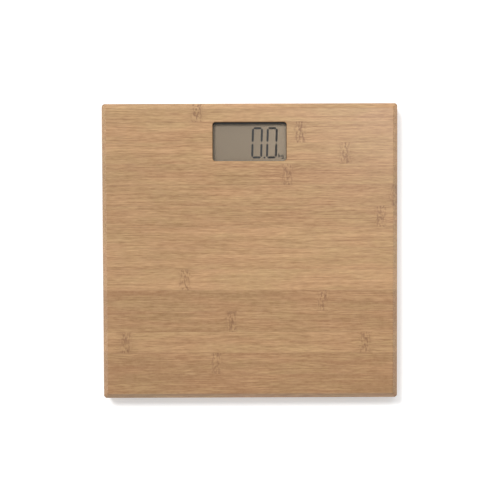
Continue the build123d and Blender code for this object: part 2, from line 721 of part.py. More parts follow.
def pcb_component(x, y, length, width, height, corner_radius=0.0):
    """One upright-sided component under the circuit board, about its own middle."""
    return slab(
        x - length / 2,
        x + length / 2,
        y - width / 2,
        y + width / 2,
        PCB_BOTTOM_Z - height,
        PCB_BOTTOM_Z,
        corner_radius,
    )


def pcb_components():
    """Resistors in two rows under the circuit board, two capacitors and a crystal can."""
    pieces = []
    for row_y in (WINDOW_CENTRE_Y - 16.0, WINDOW_CENTRE_Y + 16.0):
        for column in range(5):
            pieces.append(pcb_component(-28.0 + 3.6 * column, row_y, 2.0, 1.2, 0.6))
    for x in (8.0, 14.0):
        pieces.append(disc(2.0, PCB_BOTTOM_Z - 1.9, PCB_BOTTOM_Z, x, WINDOW_CENTRE_Y + 15.0))
    pieces.append(pcb_component(9.5, WINDOW_CENTRE_Y + 8.0, 7.0, 3.0, 1.4, 1.2))
    return group(pieces)


def tact_switch():
    """The push switch under the circuit board, open below for its plunger."""
    half = SWITCH_SIZE / 2
    low = PCB_BOTTOM_Z - SWITCH_HEIGHT
    body = slab(
        BUTTON_X - half, BUTTON_X + half, BUTTON_Y - half, BUTTON_Y + half, low, PCB_BOTTOM_Z
    )
    depth = SWITCH_PLUNGER_LENGTH - SWITCH_PLUNGER_REACH + BUTTON_TRAVEL + BUTTON_PLAY
    bore = SWITCH_PLUNGER_RADIUS + SWITCH_PLUNGER_CLEARANCE
    return body - disc(bore, low, low + depth, BUTTON_X, BUTTON_Y)


def switch_plunger():
    """The plunger that the button pushes up."""
    low = PCB_BOTTOM_Z - SWITCH_HEIGHT - SWITCH_PLUNGER_REACH
    top = low + SWITCH_PLUNGER_LENGTH
    return disc(SWITCH_PLUNGER_RADIUS, low, top, BUTTON_X, BUTTON_Y)


def unit_button():
    """The button cap, with a flange that keeps it inside the cover."""
    top = PCB_BOTTOM_Z - SWITCH_HEIGHT - SWITCH_PLUNGER_REACH
    flange = disc(BUTTON_FLANGE_RADIUS, top - BUTTON_FLANGE, top, BUTTON_X, BUTTON_Y)
    cap = disc(BUTTON_RADIUS, COVER_BOTTOM_Z + BUTTON_RECESS, top, BUTTON_X, BUTTON_Y)
    cap = fillet(cap.edges().sort_by(Axis.Z)[0], BUTTON_EDGE_RADIUS)
    dish_z = COVER_BOTTOM_Z + BUTTON_DISH_DEPTH - BUTTON_DISH_RADIUS
    dish = Pos(BUTTON_X, BUTTON_Y, dish_z) * Sphere(BUTTON_DISH_RADIUS)
    return cap + flange - dish


def solder_places():
    """Where each wire ends under the circuit board, as (x, y)."""
    places = []
    near_y = LCD_FRAME_NEAR_Y + SOLDER_INSET_Y
    for side in (-1, 1):
        for step in wire_steps():
            places.append((side * (LCD_FRAME_HALF_X - SOLDER_INSET_X), FOOT_Y + step))
            places.append((side * GROOVE_ENTRY_X + step, near_y))
        places.append((battery_wire_x(side), near_y))
    return places


def solder_joints():
    """A small cone of solder at the end of each wire."""
    height = PCB_BOTTOM_Z - WIRE_Z + WIRE_RADIUS
    joint = Cone(SOLDER_TIP_RADIUS, SOLDER_BASE_RADIUS, height, align=UP)
    return group([at((x, y, PCB_BOTTOM_Z - height), joint) for x, y in solder_places()])


def rear_cover():
    """The moulded cover, with its battery well, door recess and button hole."""
    outer = POCKET_HALF_X + COVER_FLANGE
    cover = slab(
        -outer,
        outer,
        POCKET_NEAR_Y - COVER_NEAR_FLANGE,
        POCKET_FAR_Y + COVER_NEAR_FLANGE,
        COVER_BOTTOM_Z,
        BOARD_BOTTOM_Z,
        COVER_CORNER_RADIUS,
    )
    cover = chamfer(cover.faces().sort_by(Axis.Z)[0].edges(), COVER_BEVEL)
    cover += cover_rim()
    cover += slab(
        -WELL_HALF_X,
        WELL_HALF_X,
        WELL_NEAR_Y,
        WELL_FAR_Y,
        BOARD_BOTTOM_Z,
        WELL_ROOF_Z + WELL_ROOF,
    )
    cover -= disc(CELL_RADIUS + CELL_PLAY, COVER_BOTTOM_Z, WELL_ROOF_Z, 0, CELL_Y)
    cover -= door_recess()
    cover -= contact_channels()
    cover -= disc(BUTTON_RADIUS + BUTTON_PLAY, COVER_BOTTOM_Z, BOARD_BOTTOM_Z, BUTTON_X, BUTTON_Y)
    for x, y in cover_screw_places():
        cover -= at((x, y, COVER_BOTTOM_Z), wood_screw_hole(COVER_SCREW_LENGTH))
    return cover


def cover_rim():
    """A low rim that locates the cover in the pocket."""
    outer = POCKET_HALF_X - COVER_PLAY
    near = POCKET_NEAR_Y + COVER_PLAY
    far = POCKET_FAR_Y - COVER_PLAY
    top = BOARD_BOTTOM_Z + COVER_RIM_HEIGHT
    radius = POCKET_CORNER_RADIUS - COVER_PLAY
    wall = COVER_RIM_WALL
    rim = slab(-outer, outer, near, far, BOARD_BOTTOM_Z, top, radius)
    return rim - slab(
        -outer + wall, outer - wall, near + wall, far - wall, BOARD_BOTTOM_Z, top, radius - wall
    )


def door_recess():
    """The door's room: its plate, the turn of its knuckle, its pins and a thumb scoop."""
    half = DOOR_HALF_X + DOOR_PLAY
    plate = slab(
        -half,
        half,
        DOOR_NEAR_Y - DOOR_PLAY,
        DOOR_AXIS_Y,
        COVER_BOTTOM_Z,
        DOOR_TOP_Z + DOOR_PLAY,
    )
    knuckle = DOOR_KNUCKLE_RADIUS + DOOR_PLAY
    turn = bar_along_x(knuckle, -half, half, DOOR_AXIS_Y, DOOR_AXIS_Z)
    turn += slab(
        -half, half, DOOR_AXIS_Y, DOOR_AXIS_Y + knuckle, COVER_BOTTOM_Z, DOOR_AXIS_Z
    )
    reach = half + DOOR_PIN_LENGTH
    pins = bar_along_x(
        DOOR_PIN_RADIUS + DOOR_PIN_CLEARANCE, -reach, reach, DOOR_AXIS_Y, DOOR_AXIS_Z
    )
    scoop_z = COVER_BOTTOM_Z + THUMB_SCOOP_DEPTH - THUMB_SCOOP_RADIUS
    scoop = Pos(0, DOOR_NEAR_Y, scoop_z) * Sphere(THUMB_SCOOP_RADIUS)
    return plate + turn + pins + scoop


def contact_channels():
    """The slots that let the contact strips out of the well towards the circuit board."""
    low = WELL_ROOF_Z - CONTACT_STRIP - CONTACT_PLAY
    half = CONTACT_WIDTH / 2 + CONTACT_PLAY
    negative = slab(-half, half, CELL_Y, WELL_FAR_Y, low, WELL_ROOF_Z)
    x0 = POSITIVE_STRIP_X[0] - CONTACT_PLAY
    x1 = POSITIVE_STRIP_X[1] + CONTACT_PLAY
    positive = slab(x0, x1, CELL_Y, WELL_FAR_Y, low, WELL_ROOF_Z)
    positive += slab(x0, x1, CELL_Y - half, CELL_Y + half, CELL_BOTTOM_Z, WELL_ROOF_Z)
    return negative + positive


def contact_negative():
    """A strip along the roof of the well, with a dimple on the cell's cap."""
    half = CONTACT_WIDTH / 2
    low = WELL_ROOF_Z - CONTACT_STRIP
    strip = slab(-half, half, CELL_Y - CONTACT_PAST_DIMPLE, CONTACT_TAIL_Y, low, WELL_ROOF_Z)
    return strip + disc(CONTACT_DIMPLE_RADIUS, CELL_TOP_Z, low, 0, CELL_Y)


def contact_positive():
    """A strip against the cell's side, on the left, with a blade that bears on it."""
    x0, x1 = POSITIVE_STRIP_X
    near = CELL_Y - CONTACT_WIDTH / 2
    low = WELL_ROOF_Z - CONTACT_STRIP
    strip = slab(x0, x1, near, CONTACT_TAIL_Y, low, WELL_ROOF_Z)
    blade_low = DOOR_TOP_Z + POSITIVE_BLADE_ABOVE_DOOR
    blade = slab(x1 - CONTACT_STRIP, x1, near, CELL_Y + CONTACT_WIDTH / 2, blade_low, low)
    return strip + blade


def battery():
    """The coin cell, with its negative cap up."""
    shoulder = CELL_TOP_Z - CELL_CAP_HEIGHT
    can = disc(CELL_RADIUS, CELL_BOTTOM_Z, shoulder, 0, CELL_Y)
    can = fillet(can.edges().sort_by(Axis.Z)[0], CELL_CAP_HEIGHT)
    return can + disc(CELL_CAP_RADIUS, shoulder, CELL_TOP_Z, 0, CELL_Y)


def battery_wire_x(side):
    """The side of each battery wire: the positive strip's, or the negative strip's."""
    return sum(POSITIVE_STRIP_X) / 2 if side < 0 else 0.0


def battery_wires():
    """Two short wires from the contact strips to the circuit board."""
    wires = []
    radius = BATTERY_WIRE_RADIUS
    start_y = WELL_FAR_Y + BATTERY_WIRE_CLEARANCE
    start_z = WELL_ROOF_Z - CONTACT_STRIP - radius
    end_y = LCD_FRAME_NEAR_Y + SOLDER_INSET_Y - WIRE_TO_SOLDER
    end_z = WIRE_Z + WIRE_RADIUS - radius
    for side in (-1, 1):
        x = battery_wire_x(side)
        points = [(x, start_y, start_z), (x, (WELL_FAR_Y + end_y) / 2, end_z), (x, end_y, end_z)]
        wires.append(tube(points, radius, BATTERY_WIRE_BEND_RADIUS))
    return group(wires)


def battery_door():
    """The door, with a knuckle and two pins at its far edge and grip ribs near its end."""
    half = DOOR_HALF_X
    door = slab(-half, half, DOOR_NEAR_Y, DOOR_AXIS_Y, COVER_BOTTOM_Z, DOOR_TOP_Z)
    door += bar_along_x(DOOR_KNUCKLE_RADIUS, -half, half, DOOR_AXIS_Y, DOOR_AXIS_Z)
    reach = half + DOOR_PIN_LENGTH
    door += bar_along_x(DOOR_PIN_RADIUS, -reach, reach, DOOR_AXIS_Y, DOOR_AXIS_Z)
    rib_half = DOOR_RIB_HALF_X
    rib_top = COVER_BOTTOM_Z + DOOR_RIB_DEPTH
    for index in range(DOOR_RIB_COUNT):
        y = DOOR_NEAR_Y + DOOR_FIRST_RIB + DOOR_RIB_PITCH * index
        door -= slab(-rib_half, rib_half, y, y + DOOR_RIB_PITCH / 2, COVER_BOTTOM_Z, rib_top)
    return door


def rating_label():
    """A blank label on the cover."""
    half = LABEL_WIDTH / 2
    far = POCKET_FAR_Y - LABEL_FROM_POCKET_EDGE
    low = COVER_BOTTOM_Z - LABEL_THICKNESS
    return slab(-half, half, far - LABEL_DEPTH, far, low, COVER_BOTTOM_Z, LABEL_CORNER)


def tube(points, radius, bend_radius):
    """A round wire along straight runs joined by tangent arcs."""
    path = FilletPolyline(*points, radius=bend_radius)
    start = Plane(origin=path @ 0, z_dir=path % 0)
    return sweep(start * Circle(radius), path=path)


def wire_steps():
    """The sideways steps of one foot's wires."""
    middle = (WIRES_PER_CELL - 1) / 2
    return [(index - middle) * WIRE_SPACING for index in range(WIRES_PER_CELL)]


def cell_wires(name):
    """Three wires from a foot's strain gauge to the circuit board."""
    if name.startswith("display"):
        return group([straight_wire(name, step) for step in wire_steps()])
    return group([bent_wire(name, step) for step in wire_steps()])


def wire_start(name, step):
    """Where a wire leaves the gauge, the way it runs and the way across it."""
    x, y, turn = FEET[name]
    along = Vector(math.cos(math.radians(turn)), math.sin(math.radians(turn)), 0)
    across = Vector(-along.Y, along.X, 0)
    return Vector(x, y, WIRE_Z) + along * GAUGE_COVER_X[1] + across * step, along, across


def straight_wire(name, step):
    """A wire that runs along X, straight to its solder joint."""
    first, along, _ = wire_start(name, step)
    last_x = LCD_FRAME_HALF_X - SOLDER_INSET_X + WIRE_TO_SOLDER
    length = abs(first.X) - last_x
    return Plane(origin=first, z_dir=along) * Cylinder(WIRE_RADIUS, length, align=UP)


def bent_wire(name, step):
    """A wire that crosses the board to the pocket and turns along Y to its solder joint."""
    first, _, across = wire_start(name, step)
    side = math.copysign(1.0, FEET[name][0])
    corner = Vector(side * GROOVE_ENTRY_X, GROOVE_ENTRY_Y, WIRE_Z)
    across_after = Vector(-1, 0, 0)
    share = step / (1 + across.dot(across_after))
    bend = corner + (across + across_after) * share
    last = Vector(bend.X, LCD_FRAME_NEAR_Y + SOLDER_INSET_Y - WIRE_TO_SOLDER, WIRE_Z)
    return tube([first, bend, last], WIRE_RADIUS, WIRE_BEND_RADIUS)


def glue_places(name):
    """How far along a foot's groove the glue dabs sit."""
    if name.startswith("display"):
        return [FOOT_HOUSING_RADIUS + GLUE_FROM_HOUSING]
    length = math.hypot(FOOT_X - GROOVE_ENTRY_X, FOOT_Y + GROOVE_ENTRY_Y)
    return [length * share for share in GLUE_SHARES]


def hot_glue_dabs():
    """Dabs of hot glue that hold the wires in their grooves."""
    dabs = []
    half = GROOVE_WIDTH / 2 - GLUE_CLEARANCE
    low = BOARD_BOTTOM_Z + GLUE_RECESS
    top = BOARD_BOTTOM_Z + GROOVE_DEPTH - GLUE_CLEARANCE
    for name in FEET:
        for reach in glue_places(name):
            end = reach + GLUE_LENGTH
            dab = slab(reach, end, -half, half, low, top)
            dab = fillet(dab.faces().sort_by(Axis.Z)[0].edges(), GLUE_EDGE)
            for step in wire_steps():
                dab -= bar_along_x(WIRE_RADIUS + GLUE_BORE_CLEARANCE, reach, end, step, WIRE_Z)
            dabs.append(in_foot(name, dab))
    return group(dabs)


def foot_housing():
    """The round housing that seats the load cell and hides the foot's cup."""
    flange_low = BOARD_BOTTOM_Z - FOOT_FLANGE_THICKNESS
    skirt_low = flange_low - FOOT_SKIRT_HEIGHT
    body = disc(FOOT_HOUSING_RADIUS, BOARD_BOTTOM_Z, FOOT_POCKET_ROOF_Z)
    body += disc(FOOT_FLANGE_RADIUS, flange_low, BOARD_BOTTOM_Z)
    for x, y in ear_places():
        angle = math.degrees(math.atan2(y, x))
        arm = slab(
            0, FOOT_EAR_REACH, -FOOT_EAR_RADIUS, FOOT_EAR_RADIUS, flange_low, BOARD_BOTTOM_Z
        )
        body += Rot(0, 0, angle) * arm
        body += disc(FOOT_EAR_RADIUS, flange_low, BOARD_BOTTOM_Z, x, y)
    skirt = disc(FOOT_HOUSING_RADIUS, skirt_low, flange_low)
    body += chamfer(skirt.edges().sort_by(Axis.Z)[0], FOOT_HOUSING_BEVEL)
    seat_low = LOAD_CELL_BOTTOM_Z - FOOT_HOUSING_SEAT
    body -= disc(FOOT_BORE_RADIUS, skirt_low, seat_low)
    half = LOAD_CELL_SIZE / 2 + LOAD_CELL_PLAY
    body -= slab(-half, half, -half, half, seat_low, LOAD_CELL_TOP_Z, LOAD_CELL_CORNER)
    room = TONGUE_WIDTH / 2 + LOAD_CELL_SLOT + TONGUE_ROOM
    body -= slab(
        -TONGUE_TIP - LOAD_CELL_SLOT - TONGUE_ROOM,
        TONGUE_ROOT + TONGUE_ROOM,
        -room,
        room,
        LOAD_CELL_TOP_Z,
        LOAD_CELL_TOP_Z + LOAD_CELL_ROOM_ABOVE,
    )
    body += snap_hooks(half)
    body -= slab(
        FOOT_BORE_RADIUS - WIRE_EXIT_LENGTH,
        FOOT_FLANGE_RADIUS,
        -GROOVE_WIDTH / 2,
        GROOVE_WIDTH / 2,
        BOARD_BOTTOM_Z,
        LOAD_CELL_BOTTOM_Z,
    )
    for x, y in ear_places():
        body -= foot_screw_hole(x, y)
    return body


def snap_hooks(half):
    """Two hooks that hold the load cell up in its seat."""
    hooks = Part()
    for side in (-1, 1):
        tip = side * (half - SNAP_HOOK_GRIP)
        near, far = sorted((tip, side * (FOOT_BORE_RADIUS + SNAP_HOOK_ROOT)))
        low = LOAD_CELL_BOTTOM_Z - SNAP_HOOK_HEIGHT
        reach = SNAP_HOOK_WIDTH / 2
        hooks += slab(-reach, reach, near, far, low, LOAD_CELL_BOTTOM_Z)
    return hooks


def load_cell():
    """The stamped steel load cell: a frame round a tongue that carries the foot."""
    half = LOAD_CELL_SIZE / 2
    z0 = LOAD_CELL_BOTTOM_Z
    z1 = LOAD_CELL_TOP_Z
    plate = slab(-half, half, -half, half, z0, z1, LOAD_CELL_CORNER)
    inner = TONGUE_WIDTH / 2
    outer = inner + LOAD_CELL_SLOT
    tip = -TONGUE_TIP
    for side in (-1, 1):
        low, high = sorted((side * inner, side * outer))
        plate -= slab(tip - LOAD_CELL_SLOT, TONGUE_ROOT, low, high, z0, z1)
    plate -= slab(tip - LOAD_CELL_SLOT, tip, -outer, outer, z0, z1)
    return plate - disc(LOAD_CELL_HOLE_RADIUS, z0, z1)


def gauge_cover():
    """The white silicone over the strain gauge."""
    near, far = GAUGE_COVER_X
    half = GAUGE_COVER_WIDTH / 2
    low = LOAD_CELL_BOTTOM_Z - GAUGE_COVER_HEIGHT
    block = slab(near, far, -half, half, low, LOAD_CELL_BOTTOM_Z, 2 * GAUGE_COVER_EDGE)
    return fillet(block.faces().sort_by(Axis.Z)[0].edges(), GAUGE_COVER_EDGE)


def foot_cup():
    """The cup that carries the pad and pushes up on the load cell's tongue."""
    rim_low = FOOT_PAD_THICKNESS - FOOT_CUP_RIM
    top = FOOT_PAD_THICKNESS + FOOT_CUP_THICKNESS
    cup = disc(FOOT_CUP_RADIUS, rim_low, top)
    cup = fillet(cup.edges().sort_by(Axis.Z)[0], FOOT_CUP_EDGE)
    cup -= disc(FOOT_PAD_RADIUS + FOOT_PAD_PLAY, rim_low, FOOT_PAD_THICKNESS)
    reach = FOOT_CUP_RADIUS - FOOT_RIB_INSET
    half = FOOT_RIB_THICKNESS / 2
    for index in range(FOOT_RIB_COUNT):
        rib = slab(0, reach, -half, half, top, top + FOOT_RIB_HEIGHT)
        cup += Rot(0, 0, index * 360.0 / FOOT_RIB_COUNT) * rib
    cup += disc(FOOT_POST_RADIUS, top, LOAD_CELL_BOTTOM_Z)
    pin_top = LOAD_CELL_BOTTOM_Z + LOCATING_PIN_HEIGHT
    return cup + disc(LOCATING_PIN_RADIUS, LOAD_CELL_BOTTOM_Z, pin_top)


def foot_pad():
    """The rubber pad, with two ring grooves in the face that stands on the floor."""
    pad = disc(FOOT_PAD_RADIUS, 0, FOOT_PAD_THICKNESS)
    pad = fillet(pad.edges().sort_by(Axis.Z)[0], FOOT_PAD_EDGE)
    half = FOOT_PAD_GROOVE_WIDTH / 2
    for share in FOOT_PAD_GROOVE_SHARES:
        middle = FOOT_PAD_RADIUS * share
        pad -= disc(middle + half, 0, FOOT_PAD_GROOVE) - disc(middle - half, 0, FOOT_PAD_GROOVE)
    return pad


def foot_screws():
    """Every foot's screws."""
    low = BOARD_BOTTOM_Z - FOOT_FLANGE_THICKNESS
    screw = wood_screw(FOOT_SCREW_LENGTH)
    return group(
        [in_foot(name, at((x, y, low), screw)) for name in FEET for x, y in ear_places()]
    )


def build_nodes():
    """Every node of the scale, by name."""
    cover_screw = wood_screw(COVER_SCREW_LENGTH)
    pcb_screw = small_screw(PCB_SCREW_LENGTH)
    frame_screw = small_screw(FRAME_SCREW_LENGTH)
    frame_screw_z = POCKET_ROOF_Z - LCD_FRAME_SEAT
    nodes = {
        "platform_board": platform_board(),
        "display_gasket": display_gasket(),
        "display_window": pane_block(PANE_BOTTOM_Z, PANE_TOP_Z),
        "lcd_front_polariser": lcd_sheet(
            REAR_GLASS_NEAR_Y, FRONT_GLASS_TOP_Z, POLARISER_TOP_Z, POLARISER_INSET
        ),
        "lcd_front_glass": lcd_sheet(GLASS_NEAR_Y, CELL_LAYER_TOP_Z, FRONT_GLASS_TOP_Z),
        "lcd_segments": lcd_segments(),
        "lcd_seal": lcd_seal(),
        "lcd_rear_glass": lcd_sheet(REAR_GLASS_NEAR_Y, REFLECTOR_TOP_Z, REAR_GLASS_TOP_Z),
        "lcd_reflector": lcd_sheet(REAR_GLASS_NEAR_Y, LCD_SEAT_Z, REFLECTOR_TOP_Z),
        "lcd_frame": lcd_frame(),
        "zebra_connector": zebra_block(0.0, CELL_LAYER_TOP_Z),
        "circuit_board": circuit_board(),
        "controller_chip": controller_chip(),
        "pcb_components": pcb_components(),
        "tact_switch": tact_switch(),
        "switch_plunger": switch_plunger(),
        "unit_button": unit_button(),
        "solder_joints": solder_joints(),
        "pcb_screws": group([at((x, y, PCB_BOTTOM_Z), pcb_screw) for x, y in pcb_screw_places()]),
        "frame_screws": group(
            [at((x, y, frame_screw_z), frame_screw) for x, y in frame_ear_places()]
        ),
        "rear_cover": rear_cover(),
        "cover_screws": group(
            [at((x, y, COVER_BOTTOM_Z), cover_screw) for x, y in cover_screw_places()]
        ),
        "rating_label": rating_label(),
        "battery_door": battery_door(),
        "battery": battery(),
        "contact_negative": contact_negative(),
        "contact_positive": contact_positive(),
        "battery_wires": battery_wires(),
        "foot_screws": foot_screws(),
        "hot_glue_dabs": hot_glue_dabs(),
    }
    pieces = {
        "foot_housing": foot_housing(),
        "load_cell": load_cell(),
        "gauge_cover": gauge_cover(),
        "foot_cup": foot_cup(),
        "foot_pad": foot_pad(),
    }
    for name in FEET:
        for kind, piece in pieces.items():
            nodes[f"{kind}_{name}"] = in_foot(name, piece)
        nodes[f"cell_wires_{name}"] = cell_wires(name)
    return nodes


def main():
    os.makedirs("parts", exist_ok=True)
    for name, solid in build_nodes().items():
        export_step(solid, f"parts/{name}.step")
    print(f"wire bend radius {WIRE_BEND_RADIUS} mm, wire diameter {2 * WIRE_RADIUS} mm")


main()
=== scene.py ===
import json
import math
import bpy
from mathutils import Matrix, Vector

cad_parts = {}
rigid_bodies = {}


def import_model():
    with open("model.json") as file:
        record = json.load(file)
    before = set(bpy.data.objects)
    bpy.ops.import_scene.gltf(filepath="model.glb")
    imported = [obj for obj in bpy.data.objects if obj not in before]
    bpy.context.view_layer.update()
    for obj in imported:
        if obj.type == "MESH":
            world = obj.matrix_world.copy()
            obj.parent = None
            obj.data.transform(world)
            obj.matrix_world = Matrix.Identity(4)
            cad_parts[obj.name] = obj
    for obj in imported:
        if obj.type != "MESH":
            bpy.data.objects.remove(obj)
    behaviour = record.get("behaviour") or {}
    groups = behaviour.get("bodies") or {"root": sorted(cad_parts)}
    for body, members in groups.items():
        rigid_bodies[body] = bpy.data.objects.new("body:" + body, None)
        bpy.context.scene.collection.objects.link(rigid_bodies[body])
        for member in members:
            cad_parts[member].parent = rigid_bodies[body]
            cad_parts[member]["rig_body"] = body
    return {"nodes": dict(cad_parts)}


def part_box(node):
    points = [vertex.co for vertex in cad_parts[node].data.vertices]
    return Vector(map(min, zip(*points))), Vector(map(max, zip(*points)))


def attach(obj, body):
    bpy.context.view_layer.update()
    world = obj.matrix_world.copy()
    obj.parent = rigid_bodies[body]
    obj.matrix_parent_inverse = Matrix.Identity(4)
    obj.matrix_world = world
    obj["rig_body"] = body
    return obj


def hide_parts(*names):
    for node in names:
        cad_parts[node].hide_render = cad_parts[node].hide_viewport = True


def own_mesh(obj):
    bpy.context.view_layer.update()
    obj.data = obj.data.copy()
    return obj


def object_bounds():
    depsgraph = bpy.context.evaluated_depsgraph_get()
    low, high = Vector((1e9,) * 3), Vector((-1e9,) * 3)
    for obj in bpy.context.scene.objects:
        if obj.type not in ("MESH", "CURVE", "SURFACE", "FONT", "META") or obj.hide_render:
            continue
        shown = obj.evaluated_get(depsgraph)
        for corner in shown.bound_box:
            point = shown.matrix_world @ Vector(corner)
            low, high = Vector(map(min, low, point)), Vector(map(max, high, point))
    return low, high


bl_info = {
    "name": "Bamboo bathroom scale",
    "version": (1, 0, 0),
    "blender": (4, 5, 0),
    "location": "3D View > Sidebar > Scale",
    "description": "Finishes the parts of an electronic bathroom scale and sets its stage",
    "category": "Object",
}

import bmesh
import bpy
from bpy.props import FloatProperty, FloatVectorProperty, PointerProperty
from mathutils import Vector

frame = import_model()
CAD_BOX = [list(corner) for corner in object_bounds()]

FEET = ("display_left", "display_right", "heel_left", "heel_right")
MM = 0.001
WELD_DISTANCE = 1e-6
FLAT_ANGLE = math.radians(0.6)
CREASE_ANGLE = math.radians(28.0)
BEVEL_REACH = 0.0052
ARRIS_LENGTH = 0.05
CELL_CAP_HEIGHT = 0.0004
FLOOR_GAP = 0.0002
CLEAR_SURFACES = 24
BOARD_LOW, BOARD_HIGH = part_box("platform_board")


# ---------------------------------------------------------------- settings


def colour_setting(name, description, default):
    """A colour that a user can change, in linear light."""
    return FloatVectorProperty(
        name=name, description=description, default=default, subtype="COLOR", size=3, min=0.0, max=1.0
    )


def number_setting(name, description, default):
    """A plain number that a user can change."""
    return FloatProperty(name=name, description=description, default=default)


def length_setting(name, description, default):
    """A length that a user can change, in metres."""
    return FloatProperty(
        name=name, description=description, default=default, unit="LENGTH", precision=5
    )


def angle_setting(name, description, degrees):
    """An angle that a user can change, given here in degrees."""
    return FloatProperty(
        name=name, description=description, default=math.radians(degrees), unit="ROTATION"
    )


def share_setting(name, description, default):
    """A share from 0 to 1 that a user can change."""
    return FloatProperty(
        name=name, description=description, default=default, subtype="FACTOR", min=0.0, max=1.0
    )


class BambooFinish(bpy.types.PropertyGroup):
    """How the laminated board is made up and coloured"""

    strip_width: length_setting("Strip width", "Width of one bamboo strip", 0.02137)
    first_joint: length_setting(
        "First joint", "How far forward the first glue joint is of the board's far edge", 0.0184
    )
    layers: number_setting("Layers", "Layers of strips in the board", 3.0)
    eased_edge: length_setting("Eased edge", "Width of the sanded arris on every outer edge", 0.00045)
    light: colour_setting("Light strip", "Colour of the palest strips", (0.592, 0.365, 0.18))
    dark: colour_setting("Dark strip", "Colour of the darkest strips", (0.332, 0.176, 0.077))
    knuckle: colour_setting("Knuckle", "Colour of the marks at a knuckle", (0.22, 0.105, 0.047))
    joint: colour_setting("Joint", "Colour of a glue joint", (0.27, 0.15, 0.08))
    fibre: share_setting("Fibre", "Contrast of the fine fibres", 0.92)
    roughness: share_setting("Roughness", "Roughness of the satin lacquer", 0.36)


class MouldingFinish(bpy.types.PropertyGroup):
    """The black moulded parts, the button and the rubber pads"""

    plastic: colour_setting("Plastic", "Colour of the mouldings", (0.03, 0.03, 0.032))
    worn: colour_setting("Worn edge", "Colour of a rubbed edge", (0.075, 0.075, 0.078))
    button: colour_setting("Button", "Colour of the unit button", (0.2, 0.21, 0.225))
    rubber: colour_setting("Rubber", "Colour of the foot pads", (0.028, 0.028, 0.029))
    roughness: share_setting("Roughness", "Roughness of the moulded texture", 0.52)
    eased_edge: length_setting("Eased edge", "Radius left on a moulding's edges", 0.00025)


class DisplayFinish(bpy.types.PropertyGroup):
    """The liquid-crystal display and its pane"""

    ground: colour_setting("Ground", "Colour of the display behind its digits", (0.44, 0.342, 0.236))
    # painted light: how much lighter the ground is painted towards its right end
    painted_light_right: share_setting("Right lift", "How much lighter the ground is at its right end", 0.24)
    segment: colour_setting("Segment", "Colour of a lit segment", (0.028, 0.027, 0.028))
    pane_tint: colour_setting("Pane tint", "Colour of the pane's own shading", (0.05, 0.05, 0.05))
    pane_opacity: share_setting("Pane opacity", "How much of the light the pane stops", 0.08)
    film_tint: colour_setting("Film tint", "Colour of the polariser's shading", (0.2, 0.2, 0.18))
    film_opacity: share_setting("Film opacity", "How much of the light the polariser stops", 0.06)
    glass_opacity: share_setting("Glass opacity", "How much of the light the front glass stops", 0.03)


class StageSettings(bpy.types.PropertyGroup):
    """The floor, the lights and the camera"""

    camera_height: length_setting("Camera height", "Height of the camera over the floor", 1.6)
    camera_x: length_setting("Camera X", "Camera's place across the board", 0.0033)
    camera_y: length_setting("Camera Y", "Camera's place along the board", 0.0828)
    camera_tilt: angle_setting("Tilt", "Camera's tilt from straight down", -2.951)
    camera_lean: angle_setting("Lean", "Camera's lean to the side", 0.108)
    camera_roll: angle_setting("Roll", "Camera's roll about its own axis", -0.199)
    camera_lens: number_setting("Lens", "Focal length in millimetres", 111.9)
    ambient: number_setting("Ambient", "Strength of the even light", 0.44)
    key: number_setting("Key", "Strength of the key light", 1.95)
    sheen_light: number_setting("Sheen light", "Power of the soft box, in watts", 0.8)
    floor: colour_setting("Floor", "Colour of the floor", (0.97, 0.97, 0.97))
    floor_glow: number_setting("Floor glow", "Light of the floor's own", 0.28)
    floor_size: length_setting("Floor size", "Half the width of the floor", 6.0)


# ---------------------------------------------------------------- node helpers


